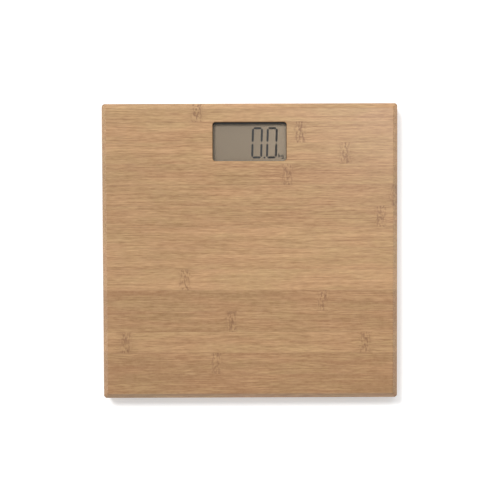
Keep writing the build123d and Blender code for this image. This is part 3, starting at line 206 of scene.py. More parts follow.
class Graph:
    """Adds nodes to one tree, and sets or links their inputs as they are made."""

    def __init__(self, tree):
        self.tree = tree

    def feed(self, socket, value):
        """Links a socket into this one, or sets its plain value."""
        if isinstance(value, bpy.types.NodeSocket):
            self.tree.links.new(value, socket)
        else:
            socket.default_value = rgba(value) if socket.type == "RGBA" else value

    def add(self, kind, inputs=None, **settings):
        node = self.tree.nodes.new(kind)
        for name, value in settings.items():
            setattr(node, name, value)
        for key, value in (inputs or {}).items():
            self.feed(node.inputs[key], value)
        return node

    def math(self, operation, *values, clamp=False):
        node = self.add("ShaderNodeMath", operation=operation, use_clamp=clamp)
        for socket, value in zip(node.inputs, values):
            self.feed(socket, value)
        return node.outputs[0]

    def plus(self, first, second):
        return self.math("ADD", first, second)

    def minus(self, first, second):
        return self.math("SUBTRACT", first, second)

    def times(self, first, second):
        return self.math("MULTIPLY", first, second)

    def over(self, first, second):
        return self.math("DIVIDE", first, second)

    def scaled(self, value, factor, shift, clamp=False):
        """The value times a factor, plus a shift."""
        return self.math("MULTIPLY_ADD", value, factor, shift, clamp=clamp)

    def distance(self, x, y):
        """How far a point lies from the origin."""
        squares = self.plus(self.math("POWER", x, 2.0), self.math("POWER", y, 2.0))
        return self.math("SQRT", squares)

    def vector(self, x, y, z):
        return self.add("ShaderNodeCombineXYZ", {0: x, 1: y, 2: z}).outputs[0]

    def parts(self, vector):
        return self.add("ShaderNodeSeparateXYZ", {0: vector}).outputs[:3]

    def noise(self, vector, scale=1.0, detail=2.0, roughness=0.5):
        inputs = {"Vector": vector, "Scale": scale, "Detail": detail, "Roughness": roughness}
        return self.add("ShaderNodeTexNoise", inputs).outputs["Fac"]

    def place(self):
        """Where the shaded point lies in the object's own space, in metres."""
        return self.add("ShaderNodeTexCoord").outputs["Object"]

    def random(self, value):
        """One fixed random number for each value."""
        return self.add("ShaderNodeTexWhiteNoise", {"W": value}, noise_dimensions="1D").outputs["Value"]

    def span(self, value, low, high, out_low=0.0, out_high=1.0):
        """The value moved smoothly from one span to another, and kept in it."""
        inputs = {"Value": value, "From Min": low, "From Max": high}
        inputs.update({"To Min": out_low, "To Max": out_high})
        return self.add("ShaderNodeMapRange", inputs, interpolation_type="SMOOTHSTEP").outputs["Result"]

    def mix(self, share, first, second, blend="MIX"):
        node = self.add("ShaderNodeMix", data_type="RGBA", blend_type=blend)
        self.feed(node.inputs[0], share)
        for socket, value in ((node.inputs[6], first), (node.inputs[7], second)):
            self.feed(socket, value)
        return node.outputs[2]

    def steps(self, value, levels):
        """Picks one of several levels by a value from 0 to 1, with no blending."""
        node = self.add("ShaderNodeValToRGB", {"Fac": value})
        ramp = node.color_ramp
        ramp.interpolation = "CONSTANT"
        while len(ramp.elements) < len(levels):
            ramp.elements.new(0.5)
        for index, level in enumerate(levels):
            ramp.elements[index].position = index / len(levels)
            ramp.elements[index].color = (level, level, level, 1.0)
        return node.outputs["Color"]

    def group(self, tree, inputs=None):
        node = self.add("ShaderNodeGroup", node_tree=tree)
        for key, value in (inputs or {}).items():
            self.feed(node.inputs[key], value)
        return node.outputs

    def bump(self, height, distance, strength=1.0):
        inputs = {"Height": height, "Distance": distance, "Strength": strength}
        return self.add("ShaderNodeBump", inputs).outputs["Normal"]


class Surface(Graph):
    """A material's graph and its one Principled shader."""

    def __init__(self, name):
        self.material = bpy.data.materials.new(name)
        self.material.use_nodes = True
        super().__init__(self.material.node_tree)
        self.shader = self.tree.nodes["Principled BSDF"]

    def set(self, **values):
        """Sets or links shader inputs, named with underscores for spaces: returns the material."""
        for name, value in values.items():
            self.feed(self.shader.inputs[name.replace("_", " ")], value)
        return self.material


def effect(name, inputs, outputs):
    """An empty shader node group with named sockets: (graph, its inputs, its outputs)."""
    tree = bpy.data.node_groups.new(name, "ShaderNodeTree")
    for label, value in inputs.items():
        kind = "NodeSocketColor" if isinstance(value, tuple) else "NodeSocketFloat"
        socket = tree.interface.new_socket(label, in_out="INPUT", socket_type=kind)
        socket.default_value = rgba(value) if isinstance(value, tuple) else value
    for label in outputs:
        kind = "NodeSocketColor" if label == "Colour" else "NodeSocketFloat"
        tree.interface.new_socket(label, in_out="OUTPUT", socket_type=kind)
    graph = Graph(tree)
    return graph, graph.add("NodeGroupInput").outputs, graph.add("NodeGroupOutput").inputs


def rgba(colour):
    """A colour with its alpha, as a colour socket takes it."""
    return (*colour[:3], 1.0)


def cached(build):
    """A group is built once and placed in each material that asks for it."""
    made = {}

    def fetch():
        if "tree" not in made:
            made["tree"] = build()
        return made["tree"]

    return fetch


# ---------------------------------------------------------------- shared effects


@cached
def moulded_texture():
    """Spark-eroded texture of a moulding: a fine pebbled height and a mottled roughness."""
    graph, given, out = effect(
        "moulded_texture",
        {"Grain per metre": 2600.0, "Roughness": 0.5},
        ("Height", "Roughness"),
    )
    place = graph.place()
    pebbles = graph.noise(place, given["Grain per metre"], 2.0, 0.55)
    broad = graph.noise(place, 38.0, 3.0, 0.6)
    graph.feed(out["Height"], pebbles)
    drift = graph.scaled(broad, 0.16, -0.08)
    speck = graph.scaled(pebbles, 0.1, -0.05)
    rough = graph.plus(given["Roughness"], graph.plus(drift, speck))
    graph.feed(out["Roughness"], rough)
    return graph.tree


@cached
def edge_wear():
    """Mixes in a worn colour where an outer edge stands proud, broken up by noise."""
    graph, given, out = effect(
        "edge_wear",
        {"Colour": (0.5, 0.5, 0.5), "Worn colour": (0.8, 0.8, 0.8), "Amount": 0.5},
        ("Colour", "Mask"),
    )
    place = graph.place()
    proud = graph.span(graph.add("ShaderNodeNewGeometry").outputs["Pointiness"], 0.52, 0.6)
    patchy = graph.span(graph.noise(place, 240.0, 4.0, 0.65), 0.38, 0.62)
    mask = graph.math("MULTIPLY", graph.times(proud, patchy), given["Amount"], clamp=True)
    graph.feed(out["Mask"], mask)
    graph.feed(out["Colour"], graph.mix(mask, given["Colour"], given["Worn colour"]))
    return graph.tree


@cached
def handling_marks():
    """Faint dust and finger marks: a roughness to add and a mask of settled dust."""
    graph, given, out = effect(
        "handling_marks",
        {"Strength": 0.05},
        ("Roughness", "Dust"),
    )
    place = graph.place()
    smear = graph.span(graph.noise(place, 55.0, 4.0, 0.62), 0.42, 0.7)
    graph.feed(out["Roughness"], graph.times(smear, given["Strength"]))
    specks = graph.span(graph.noise(place, 1900.0, 1.0), 0.68, 0.76)
    graph.feed(out["Dust"], graph.times(specks, smear))
    return graph.tree


@cached
def rolled_metal():
    """Sheet metal with fine rolling lines along X: a tone from 0 to 1, a height and a roughness."""
    graph, given, out = effect(
        "rolled_metal",
        {"Roughness": 0.3},
        ("Tone", "Height", "Roughness"),
    )
    x, y, z = graph.parts(graph.place())
    stretched = graph.vector(
        graph.times(x, 60.0), graph.times(y, 2600.0), graph.times(z, 2600.0)
    )
    lines = graph.noise(stretched, 1.0, 3.0, 0.6)
    cloud = graph.noise(graph.vector(x, y, z), 160.0, 3.0, 0.6)
    graph.feed(out["Tone"], graph.scaled(lines, 0.5, graph.times(cloud, 0.5)))
    graph.feed(out["Height"], lines)
    rough = graph.scaled(cloud, 0.22, given["Roughness"])
    graph.feed(out["Roughness"], graph.plus(rough, -0.11))
    return graph.tree


# ---------------------------------------------------------------- bamboo

# Each strip of the top layer, counted from the far edge: its tone from dark (0) to
# light (1), and where its knuckles stand, in millimetres from the middle of the board.
STRIP_TONES = (0.56, 0.5, 0.5, 0.36, 0.4, 0.4, 0.5, 0.53, 0.6, 0.22, 0.24, 0.46, 0.2, 0.16, 0.2, 0.4)
KNUCKLES = {0: -54, 1: 51, 2: 97, 3: 38, 4: 147, 5: 133, 8: -66, 9: 74, 10: -19, 11: 117, 12: -35}
SECOND_KNUCKLES = {11: -127}
STRIP_COUNT = len(STRIP_TONES)
NO_KNUCKLE = 400
KNUCKLE_RANGE = 1000.0
# Each layer lies some strips further on than the one above it, and draws its own seeds.
LAYER_SHIFT = 5.43
LAYER_SEED = 31.0


@cached
def strip_layout():
    """Which strip a point lies in: its number, its random seed and how near its joints are."""
    graph, given, out = effect(
        "strip_layout",
        {
            "Strip width": 0.0214,
            "First joint": 0.0184,
            "Far edge": 0.15,
            "Low": 0.009,
            "High": 0.023,
            "Layers": 3.0,
        },
        ("Strip", "Seed", "Joint"),
    )
    _, y, z = graph.parts(graph.place())
    depth = graph.minus(given["High"], z)
    thickness = graph.minus(given["High"], given["Low"])
    plies = graph.times(graph.over(depth, thickness), given["Layers"])
    plies = graph.math("MAXIMUM", plies, 0.01)
    layer = graph.math("MINIMUM", graph.math("FLOOR", plies), graph.minus(given["Layers"], 1.0))
    forward = graph.minus(given["Far edge"], y)
    beyond = graph.minus(given["Strip width"], given["First joint"])
    run = graph.over(graph.plus(forward, beyond), given["Strip width"])
    run = graph.scaled(layer, LAYER_SHIFT, run)
    strip = graph.math("WRAP", graph.math("FLOOR", run), float(STRIP_COUNT), 0.0)
    graph.feed(out["Strip"], strip)
    graph.feed(out["Seed"], graph.random(graph.scaled(layer, LAYER_SEED, strip)))
    across = graph.math("FRACT", run)
    side = graph.math("MINIMUM", across, graph.minus(1.0, across))
    side = graph.times(side, given["Strip width"])
    level = graph.math("FRACT", plies)
    level = graph.math("MINIMUM", level, graph.minus(1.0, level))
    level = graph.times(level, graph.over(thickness, given["Layers"]))
    side_line = graph.span(side, 0.0, 0.0003, 1.0, 0.0)
    level_line = graph.span(level, 0.0, 0.00025, 1.0, 0.0)
    under_top = graph.span(depth, 0.0005, 0.001)
    level_line = graph.times(level_line, under_top)
    graph.feed(out["Joint"], graph.math("MAXIMUM", side_line, level_line))
    return graph.tree


@cached
def knuckle_marks():
    """A knuckle across a strip: where its fibres swirl, and its dark mottled marks."""
    graph, given, out = effect(
        "knuckle_marks",
        {"Place": 0.0, "Seed": 0.0, "Reach": 0.0062},
        ("Swirl", "Marks", "Glints", "Patch"),
    )
    x, y, z = graph.parts(graph.place())
    wobble = graph.noise(graph.vector(given["Seed"], graph.times(y, 95.0), z))
    place = graph.scaled(wobble, 0.006, graph.plus(given["Place"], -0.003))
    away = graph.math("ABSOLUTE", graph.minus(x, place))
    near = graph.span(graph.over(away, given["Reach"]), 0.25, 1.25, 1.0, 0.0)
    wide = graph.span(graph.over(away, given["Reach"]), 0.0, 4.2, 1.0, 0.0)
    graph.feed(out["Swirl"], wide)
    stretched = graph.vector(
        graph.times(x, 560.0),
        graph.scaled(y, 250.0, graph.times(given["Seed"], 90.0)),
        graph.times(z, 250.0),
    )
    mottle = graph.noise(stretched, 1.0, 3.0, 0.6)
    graph.feed(out["Marks"], graph.times(near, graph.span(mottle, 0.46, 0.6)))
    graph.feed(out["Glints"], graph.times(near, graph.span(mottle, 0.45, 0.34)))
    cloud_place = graph.vector(graph.times(x, 90.0), graph.times(y, 160.0), given["Seed"])
    cloud = graph.noise(cloud_place)
    patch = graph.span(graph.over(away, given["Reach"]), 0.2, 2.2, 1.0, 0.0)
    graph.feed(out["Patch"], graph.times(patch, graph.span(cloud, 0.3, 0.6)))
    return graph.tree


@cached
def bamboo_fibre():
    """Fibres along X: fine lines, broad bands and short vascular dashes, each from 0 to 1."""
    graph, given, out = effect(
        "bamboo_fibre",
        {"Seed": 0.0, "Swirl": 0.0},
        ("Lines", "Bands", "Dashes", "Ripple", "Hue"),
    )
    x, y, z = graph.parts(graph.place())
    seed = graph.times(given["Seed"], 71.0)
    drift = graph.noise(graph.vector(graph.times(x, 9.0), seed, graph.times(y, 14.0)))
    curl_place = graph.vector(graph.times(x, 130.0), graph.scaled(y, 110.0, seed), seed)
    curl = graph.plus(graph.noise(curl_place), -0.5)
    curl = graph.times(curl, graph.times(given["Swirl"], 0.0042))
    bent = graph.plus(graph.scaled(drift, 0.0026, y), curl)

    def stretched(along, across, shift):
        return graph.vector(
            graph.scaled(x, along, graph.scaled(seed, 1.7, shift)),
            graph.scaled(bent, across, seed),
            graph.scaled(z, across, seed),
        )

    long_lines = graph.noise(stretched(16.0, 880.0, 0.0), 1.0, 3.0, 0.66)
    short_lines = graph.noise(stretched(95.0, 900.0, 1.3), 1.0, 2.0, 0.6)
    graph.feed(out["Lines"], graph.scaled(short_lines, 0.5, graph.times(long_lines, 0.5)))
    graph.feed(out["Bands"], graph.noise(stretched(8.0, 170.0, 3.1)))
    hue_place = graph.vector(graph.scaled(x, 17.0, seed), graph.times(bent, 80.0), seed)
    graph.feed(out["Hue"], graph.span(graph.noise(hue_place), 0.3, 0.7))
    dashes = graph.noise(stretched(75.0, 1500.0, 7.7), 1.0, 1.0)
    graph.feed(out["Dashes"], graph.span(dashes, 0.6, 0.74))
    graph.feed(out["Ripple"], graph.noise(stretched(34.0, 260.0, 5.3)))
    return graph.tree


def knuckle_place(graph, strip, knuckles):
    """Where a strip's knuckle stands along X, in metres."""
    levels = [knuckles.get(index, NO_KNUCKLE) / KNUCKLE_RANGE + 0.5 for index in range(STRIP_COUNT)]
    share = graph.over(graph.plus(strip, 0.5), float(STRIP_COUNT))
    level = graph.steps(share, levels)
    return graph.times(graph.minus(level, 0.5), KNUCKLE_RANGE * MM)


def bamboo_material(finish):
    """Satin-lacquered bamboo, laid up in strips and layers."""
    graph = Surface("bamboo_laminate")
    layout = graph.group(
        strip_layout(),
        {
            "Strip width": finish.strip_width,
            "First joint": finish.first_joint,
            "Far edge": BOARD_HIGH.y,
            "Low": BOARD_LOW.z,
            "High": BOARD_HIGH.z,
            "Layers": finish.layers,
        },
    )
    strip, seed = layout["Strip"], layout["Seed"]
    first = graph.group(
        knuckle_marks(), {"Place": knuckle_place(graph, strip, KNUCKLES), "Seed": seed}
    )
    second = graph.group(
        knuckle_marks(), {"Place": knuckle_place(graph, strip, SECOND_KNUCKLES), "Seed": seed}
    )
    swirl = graph.math("MAXIMUM", first["Swirl"], second["Swirl"])
    marks = graph.math("MAXIMUM", first["Marks"], second["Marks"])
    glints = graph.math("MAXIMUM", first["Glints"], second["Glints"])
    patch = graph.math("MAXIMUM", first["Patch"], second["Patch"])
    fibre = graph.group(bamboo_fibre(), {"Seed": seed, "Swirl": swirl})

    share = graph.over(graph.plus(strip, 0.5), float(STRIP_COUNT))
    tone = graph.steps(share, STRIP_TONES)
    tone = graph.scaled(graph.plus(fibre["Bands"], -0.5), 0.75, tone)
    tone = graph.scaled(graph.plus(fibre["Lines"], -0.5), finish.fibre * 3.8, tone)
    rippled = graph.times(graph.plus(fibre["Ripple"], -0.5), swirl)
    tone = graph.scaled(rippled, 0.9, tone, clamp=True)
    colour = graph.mix(tone, finish.dark, finish.light)
    tint = graph.mix(fibre["Hue"], (0.975, 1.01, 0.98), (1.025, 0.985, 1.0))
    colour = graph.mix(1.0, colour, tint, "MULTIPLY")
    colour = graph.mix(graph.times(fibre["Dashes"], 0.22), colour, finish.knuckle)
    colour = graph.mix(graph.times(patch, 0.3), colour, finish.dark)
    colour = graph.mix(graph.times(marks, 0.78), colour, finish.knuckle)
    colour = graph.mix(graph.times(glints, 0.3), colour, finish.light)
    colour = graph.mix(graph.times(layout["Joint"], 0.22), colour, finish.joint)
    worn = graph.group(
        edge_wear(), {"Colour": colour, "Worn colour": (0.46, 0.265, 0.135), "Amount": 0.3}
    )
    smears = graph.group(handling_marks(), {"Strength": 0.07})
    rough = graph.scaled(fibre["Lines"], 0.1, finish.roughness - 0.05)
    height = graph.minus(fibre["Lines"], graph.times(layout["Joint"], 0.8))
    height = graph.minus(height, graph.times(marks, 0.4))
    return graph.set(
        Base_Color=worn["Colour"],
        Roughness=graph.plus(rough, smears["Roughness"]),
        Normal=graph.bump(height, 0.00006, 0.6),
        Coat_Weight=0.26,
        Coat_Roughness=0.28,
        Specular_IOR_Level=0.5,
    )


# ---------------------------------------------------------------- plastics, rubber and glue

DUST = (0.32, 0.31, 0.29)


def moulded_material(name, colour, worn, roughness, grain=2600.0, wear=0.25, relief=0.00004):
    """Moulded plastic or rubber: an eroded texture, rubbed edges and faint marks."""
    graph = Surface(name)
    texture = graph.group(moulded_texture(), {"Grain per metre": grain, "Roughness": roughness})
    rubbed = graph.group(
        edge_wear(), {"Colour": colour, "Worn colour": worn, "Amount": wear}
    )
    marks = graph.group(handling_marks(), {"Strength": 0.09})
    dust = graph.times(marks["Dust"], 0.3)
    return graph.set(
        Base_Color=graph.mix(dust, rubbed["Colour"], DUST),
        Roughness=graph.plus(texture["Roughness"], marks["Roughness"]),
        Normal=graph.bump(texture["Height"], relief),
    )


def soft_blob_material(name, colour, shade, roughness, coat):
    """Silicone, hot glue or epoxy that set in a drop: a smooth skin with slow waves and bubbles."""
    graph = Surface(name)
    place = graph.place()
    waves = graph.noise(place, 420.0)
    bubbles = graph.span(graph.noise(place, 1500.0, 1.0), 0.66, 0.74)
    tone = graph.scaled(bubbles, 0.5, graph.span(waves, 0.35, 0.75, 0.0, 0.5))
    return graph.set(
        Base_Color=graph.mix(tone, colour, shade),
        Roughness=graph.scaled(waves, 0.16, roughness - 0.08),
        Normal=graph.bump(waves, 0.0003, 0.5),
        Coat_Weight=coat,
        Coat_Roughness=0.12,
    )


def gasket_material():
    """Matt black closed-cell foam tape."""
    graph = Surface("gasket_foam")
    cells = graph.noise(graph.place(), 3200.0, 2.0, 0.6)
    tone = graph.mix(cells, (0.022, 0.021, 0.021), (0.05, 0.048, 0.047))
    return graph.set(Base_Color=tone, Roughness=0.86, Normal=graph.bump(cells, 0.00005))


STRAND_ATTRIBUTE = "strand"
WIRE_COLOURS = {
    "cell_wires": ((0.42, 0.018, 0.016), (0.62, 0.61, 0.58), (0.018, 0.018, 0.02)),
    "battery_wires": ((0.42, 0.018, 0.016), (0.018, 0.018, 0.02)),
}


def wire_material(kind):
    """Smooth insulation, a colour to each wire of the set."""
    graph = Surface(f"{kind}_insulation")
    strand = graph.add("ShaderNodeAttribute", attribute_name=STRAND_ATTRIBUTE).outputs["Fac"]
    colours = WIRE_COLOURS[kind]
    colour = colours[0]
    for index, following in enumerate(colours[1:], start=1):
        later = graph.math("GREATER_THAN", strand, (index - 0.5) / len(colours))
        colour = graph.mix(later, colour, following)
    scuff = graph.span(graph.noise(graph.place(), 900.0, 3.0, 0.6), 0.55, 0.8)
    colour = graph.mix(graph.times(scuff, 0.18), colour, DUST)
    return graph.set(
        Base_Color=colour,
        Roughness=graph.scaled(scuff, 0.2, 0.34),
        Normal=graph.bump(scuff, 0.00002),
    )


# ---------------------------------------------------------------- metals


def sheet_metal_material(name, dark, bright, roughness, relief=0.00002):
    """Rolled or plated sheet metal."""
    graph = Surface(name)
    metal = graph.group(rolled_metal(), {"Roughness": roughness})
    rubbed = graph.group(
        edge_wear(),
        {
            "Colour": graph.mix(metal["Tone"], dark, bright),
            "Worn colour": bright,
            "Amount": 0.7,
        },
    )
    return graph.set(
        Base_Color=rubbed["Colour"],
        Roughness=metal["Roughness"],
        Metallic=1.0,
        Normal=graph.bump(metal["Height"], relief),
    )


def screw_material(name, colour, worn, roughness, metallic):
    """A plated screw, rubbed bright where the driver has touched it."""
    graph = Surface(name)
    place = graph.place()
    turned = graph.noise(place, 2400.0, 2.0, 0.6)
    rubbed = graph.group(
        edge_wear(), {"Colour": colour, "Worn colour": worn, "Amount": 0.9}
    )
    marks = graph.group(handling_marks(), {"Strength": 0.12})
    return graph.set(
        Base_Color=rubbed["Colour"],
        Roughness=graph.plus(marks["Roughness"], graph.scaled(turned, 0.2, roughness - 0.1)),
        Metallic=metallic,
        Normal=graph.bump(turned, 0.00002),
    )


def solder_material():
    """Solder with a frosted, slightly dimpled skin."""
    graph = Surface("solder_tin")
    frost = graph.noise(graph.place(), 2600.0, 3.0, 0.65)
    tone = graph.mix(frost, (0.42, 0.42, 0.43), (0.76, 0.76, 0.77))
    return graph.set(
        Base_Color=tone,
        Metallic=1.0,
        Roughness=graph.scaled(frost, 0.3, 0.2),
        Normal=graph.bump(frost, 0.00006),
    )


def coin_cell_material(middle, shoulder):
    """A steel coin cell: turned rings on its flat faces, a dark seal line round its cap."""
    graph = Surface("coin_cell_steel")
    x, y, z = graph.parts(graph.place())
    across = graph.minus(x, middle.x)
    along = graph.minus(y, middle.y)
    radius = graph.distance(across, along)
    rings = graph.noise(graph.vector(graph.times(radius, 5200.0), 0.0, 0.0), 1.0, 2.0, 0.6)
    cloud = graph.noise(graph.place(), 150.0, 3.0, 0.6)
    tone = graph.scaled(rings, 0.45, graph.times(cloud, 0.5), clamp=True)
    colour = graph.mix(tone, (0.46, 0.455, 0.44), (0.8, 0.795, 0.78))
    level = graph.math("ABSOLUTE", graph.minus(z, shoulder))
    seal = graph.span(level, 0.00005, 0.00018, 1.0, 0.0)
    return graph.set(
        Base_Color=graph.mix(seal, colour, (0.03, 0.03, 0.032)),
        Metallic=1.0,
        Roughness=graph.scaled(cloud, 0.24, 0.16),
        Normal=graph.bump(rings, 0.00002),
    )


# ---------------------------------------------------------------- display


def clear_layer_material(name, tint, opacity, roughness):
    """A clear sheet over the display: it stops a share of the light and keeps its gloss."""
    graph = Surface(name)
    smear = graph.span(graph.noise(graph.place(), 70.0, 4.0, 0.6), 0.4, 0.75)
    graph.material.surface_render_method = "BLENDED"
    return graph.set(
        Base_Color=tint,
        Roughness=graph.scaled(smear, 0.05, roughness),
        Alpha=opacity,
        Specular_IOR_Level=0.6,
    )


def display_ground_material(finish):
    """The grey-beige ground behind the digits, with painted light that makes it a little lighter
    towards its right end.
    """
    graph = Surface("display_ground_painted_light")
    place = graph.place()
    x, _, _ = graph.parts(place)
    grain = graph.noise(place, 2800.0, 2.0, 0.6)
    cloud = graph.noise(place, 45.0)
    # painted light: the ground grows lighter towards its right end, mixed in with the grain and the
    # cloud
    painted_light_share = graph.span(x, -0.006, 0.03)
    lift = graph.scaled(painted_light_share, finish.painted_light_right, graph.scaled(grain, 0.07, 0.93))
    lift = graph.scaled(graph.plus(cloud, -0.5), 0.06, lift)
    colour = graph.mix(1.0, finish.ground, graph.vector(lift, lift, lift), "MULTIPLY")
    return graph.set(Base_Color=colour, Roughness=graph.scaled(grain, 0.12, 0.5))


def segment_material(finish):
    """Lit segments, mottled a shade softer by a fine grain."""
    graph = Surface("display_segment")
    grain = graph.noise(graph.place(), 2600.0, 2.0, 0.55)
    softer = tuple(value * 1.7 for value in finish.segment)
    return graph.set(
        Base_Color=graph.mix(grain, finish.segment, softer),
        Roughness=graph.scaled(grain, 0.1, 0.45),
    )


def seal_material():
    """The cream epoxy seal between the two glasses."""
    graph = Surface("display_seal")
    cloud = graph.noise(graph.place(), 700.0, 3.0, 0.6)
    tone = graph.mix(cloud, (0.3, 0.27, 0.22), (0.46, 0.42, 0.35))
    return graph.set(Base_Color=tone, Roughness=0.55, Normal=graph.bump(cloud, 0.00003))


def zebra_material():
    """The connector's rubber, with a carbon stripe every 0.36 mm along X."""
    graph = Surface("zebra_rubber_striped")
    x, _, _ = graph.parts(graph.place())
    beat = graph.math("FRACT", graph.over(x, 0.00036))
    stripe = graph.span(graph.math("ABSOLUTE", graph.minus(beat, 0.5)), 0.22, 0.28)
    grain = graph.noise(graph.place(), 1800.0, 2.0, 0.6)
    return graph.set(
        Base_Color=graph.mix(stripe, (0.03, 0.03, 0.032), (0.62, 0.6, 0.56)),
        Roughness=graph.scaled(grain, 0.15, 0.55),
        Normal=graph.bump(stripe, 0.00003),
    )


# ---------------------------------------------------------------- circuit board

TRACK_PITCH = 0.00127
TRACK_RUN = 0.0095
PAD_PITCH = 0.00508


def track_mask(graph, along, across, shift):
    """Copper tracks that run one way: lines a pitch apart, each broken into random runs."""
    row = graph.over(across, TRACK_PITCH)
    lane = graph.math("FLOOR", row)
    cell = graph.math("FLOOR", graph.over(along, TRACK_RUN))
    chance = graph.random(graph.scaled(cell, 7.31, graph.scaled(lane, 3.17, shift)))
    present = graph.math("GREATER_THAN", chance, 0.55)
    offset = graph.math("ABSOLUTE", graph.minus(graph.math("FRACT", row), 0.5))
    return graph.times(present, graph.span(offset, 0.12, 0.17, 1.0, 0.0))


def circuit_board_material():
    """Green solder mask over copper tracks, with tinned pads on a coarse grid."""
    graph = Surface("circuit_laminate")
    x, y, _ = graph.parts(graph.place())
    tracks = graph.math("MAXIMUM", track_mask(graph, x, y, 0.0), track_mask(graph, y, x, 53.0))
    across = graph.minus(graph.math("FRACT", graph.over(x, PAD_PITCH)), 0.5)
    along = graph.minus(graph.math("FRACT", graph.over(y, PAD_PITCH)), 0.5)
    reach = graph.distance(across, along)
    pads = graph.span(reach, 0.1, 0.12, 1.0, 0.0)
    weave = graph.noise(graph.place(), 1400.0)
    mask = graph.mix(weave, (0.006, 0.075, 0.032), (0.01, 0.11, 0.048))
    green = graph.mix(graph.times(tracks, 0.7), mask, (0.03, 0.2, 0.075))
    return graph.set(
        Base_Color=graph.mix(pads, green, (0.66, 0.65, 0.62)),
        Metallic=pads,
        Roughness=graph.scaled(weave, 0.14, 0.24),
        Normal=graph.bump(graph.math("MAXIMUM", tracks, pads), 0.00004),
    )


def component_material():
    """Chip resistors on the left, each dark or brown at random, and metal cans on the right."""
    graph = Surface("small_component")
    place = graph.place()
    x, _, _ = graph.parts(place)
    can = graph.math("GREATER_THAN", x, 0.0)
    chance = graph.add("ShaderNodeNewGeometry").outputs["Random Per Island"]
    body = graph.mix(graph.math("GREATER_THAN", chance, 0.55), (0.02, 0.02, 0.022), (0.33, 0.22, 0.12))
    scratch = graph.noise(place, 2200.0, 3.0, 0.6)
    metal = graph.mix(scratch, (0.52, 0.52, 0.53), (0.78, 0.78, 0.79))
    return graph.set(
        Base_Color=graph.mix(can, body, metal),
        Metallic=can,
        Roughness=graph.scaled(scratch, 0.25, 0.26),
        Normal=graph.bump(scratch, 0.00002),
    )


def label_material(low, high):
    """Silvered film with a thin printed border and nothing else on it."""
    graph = Surface("label_silver")
    place = graph.place()
    x, y, _ = graph.parts(place)
    middle = (low + high) / 2
    half = (high - low) / 2
    side = graph.minus(half.x, graph.math("ABSOLUTE", graph.minus(x, middle.x)))
    end = graph.minus(half.y, graph.math("ABSOLUTE", graph.minus(y, middle.y)))
    inset = graph.math("MINIMUM", side, end)
    line = graph.math("ABSOLUTE", graph.minus(inset, 0.0016))
    border = graph.span(line, 0.00014, 0.00024, 1.0, 0.0)
    brushed = graph.group(rolled_metal(), {"Roughness": 0.36})
    silver = graph.mix(brushed["Tone"], (0.5, 0.505, 0.51), (0.68, 0.685, 0.69))
    return graph.set(
        Base_Color=graph.mix(border, silver, (0.05, 0.05, 0.052)),
        Metallic=graph.scaled(border, -0.5, 0.5),
        Roughness=brushed["Roughness"],
    )


# ---------------------------------------------------------------- pieces


def paint(material, *nodes):
    """Gives parts that keep their shape their one material."""
    for node in nodes:
        frame["nodes"][node].material_slots[0].material = material


def on_each_foot(kind):
    """The names of one kind of part on the four feet."""
    return [f"{kind}_{foot}" for foot in FEET]


def clean_copy(node):
    """A part's own mesh, welded and with its flat faces made whole, as a new bmesh."""
    work = bmesh.new()
    work.from_mesh(frame["nodes"][node].data)
    bmesh.ops.remove_doubles(work, verts=work.verts, dist=WELD_DISTANCE)
    bmesh.ops.dissolve_limit(
        work, angle_limit=FLAT_ANGLE, verts=work.verts, edges=work.edges, delimit={"NORMAL"}
    )
    return work


def stand_in(node, work, material, name):
    """Makes a finished mesh stand for a part, on the part's own body."""
    mesh = bpy.data.meshes.new(name)
    work.to_mesh(mesh)
    work.free()
    old_normals = mesh.attributes.get("custom_normal")
    if old_normals:
        mesh.attributes.remove(old_normals)
    mesh.materials.clear()
    mesh.materials.append(material)
    mesh.shade_smooth()
    mesh.set_sharp_from_angle(angle=CREASE_ANGLE)
    piece = bpy.data.objects.new(name, mesh)
    bpy.context.scene.collection.objects.link(piece)
    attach(piece, frame["nodes"][node]["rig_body"])
    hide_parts(node)
    return piece


def ease_edges(piece, width, segments=2, by_weight=False):
    """Rounds a piece's hard edges, or only those that were given a weight."""
    bevel = piece.modifiers.new("eased_edges", "BEVEL")
    bevel.width = width
    bevel.segments = segments
    bevel.limit_method = "WEIGHT" if by_weight else "ANGLE"
    bevel.angle_limit = CREASE_ANGLE
    bevel.use_clamp_overlap = not by_weight
    bevel.harden_normals = True
    return piece


def eased_moulding(node, material, width):
    """A moulded or stamped part with its hard edges eased."""
    work = clean_copy(node)
    bmesh.ops.triangulate(work, faces=[face for face in work.faces if len(face.verts) > 4])
    return ease_edges(stand_in(node, work, material, f"{node}_eased"), width)


def islands(work):
    """The separate shells of a mesh, each a list of faces."""
    waiting = set(work.faces)
    shells = []
    while waiting:
        edge_of_shell = [waiting.pop()]
        shell = []
        while edge_of_shell:
            face = edge_of_shell.pop()
            shell.append(face)
            for edge in face.edges:
                for other in edge.link_faces:
                    if other in waiting:
                        waiting.remove(other)
                        edge_of_shell.append(other)
        shells.append(shell)
    return shells


def shell_middle(shell):
    """The middle of a shell's faces."""
    return sum((face.calc_center_median() for face in shell), Vector()) / len(shell)


def coloured_wires(node, kind, material):
    """A set of wires with each strand numbered for its colour."""
    work = bmesh.new()
    work.from_mesh(frame["nodes"][node].data)
    bmesh.ops.remove_doubles(work, verts=work.verts, dist=WELD_DISTANCE)
    layer = work.faces.layers.float.new(STRAND_ATTRIBUTE)
    shells = sorted(islands(work), key=lambda shell: sum(shell_middle(shell).xy))
    for index, shell in enumerate(shells):
        for face in shell:
            face[layer] = (index + 0.5) / len(WIRE_COLOURS[kind])
    return stand_in(node, work, material, f"{node}_coloured")


def board_arris(edge):
    """Whether an edge of the board's mesh is one of its long outer arrises."""
    if len(edge.link_faces) != 2 or edge.calc_length() < ARRIS_LENGTH:
        return False
    if edge.calc_face_angle() < CREASE_ANGLE:
        return False
    inner = BOARD_HIGH - Vector((BEVEL_REACH, BEVEL_REACH, 0.0))
    return all(abs(vert.co.x) > inner.x or abs(vert.co.y) > inner.y for vert in edge.verts)


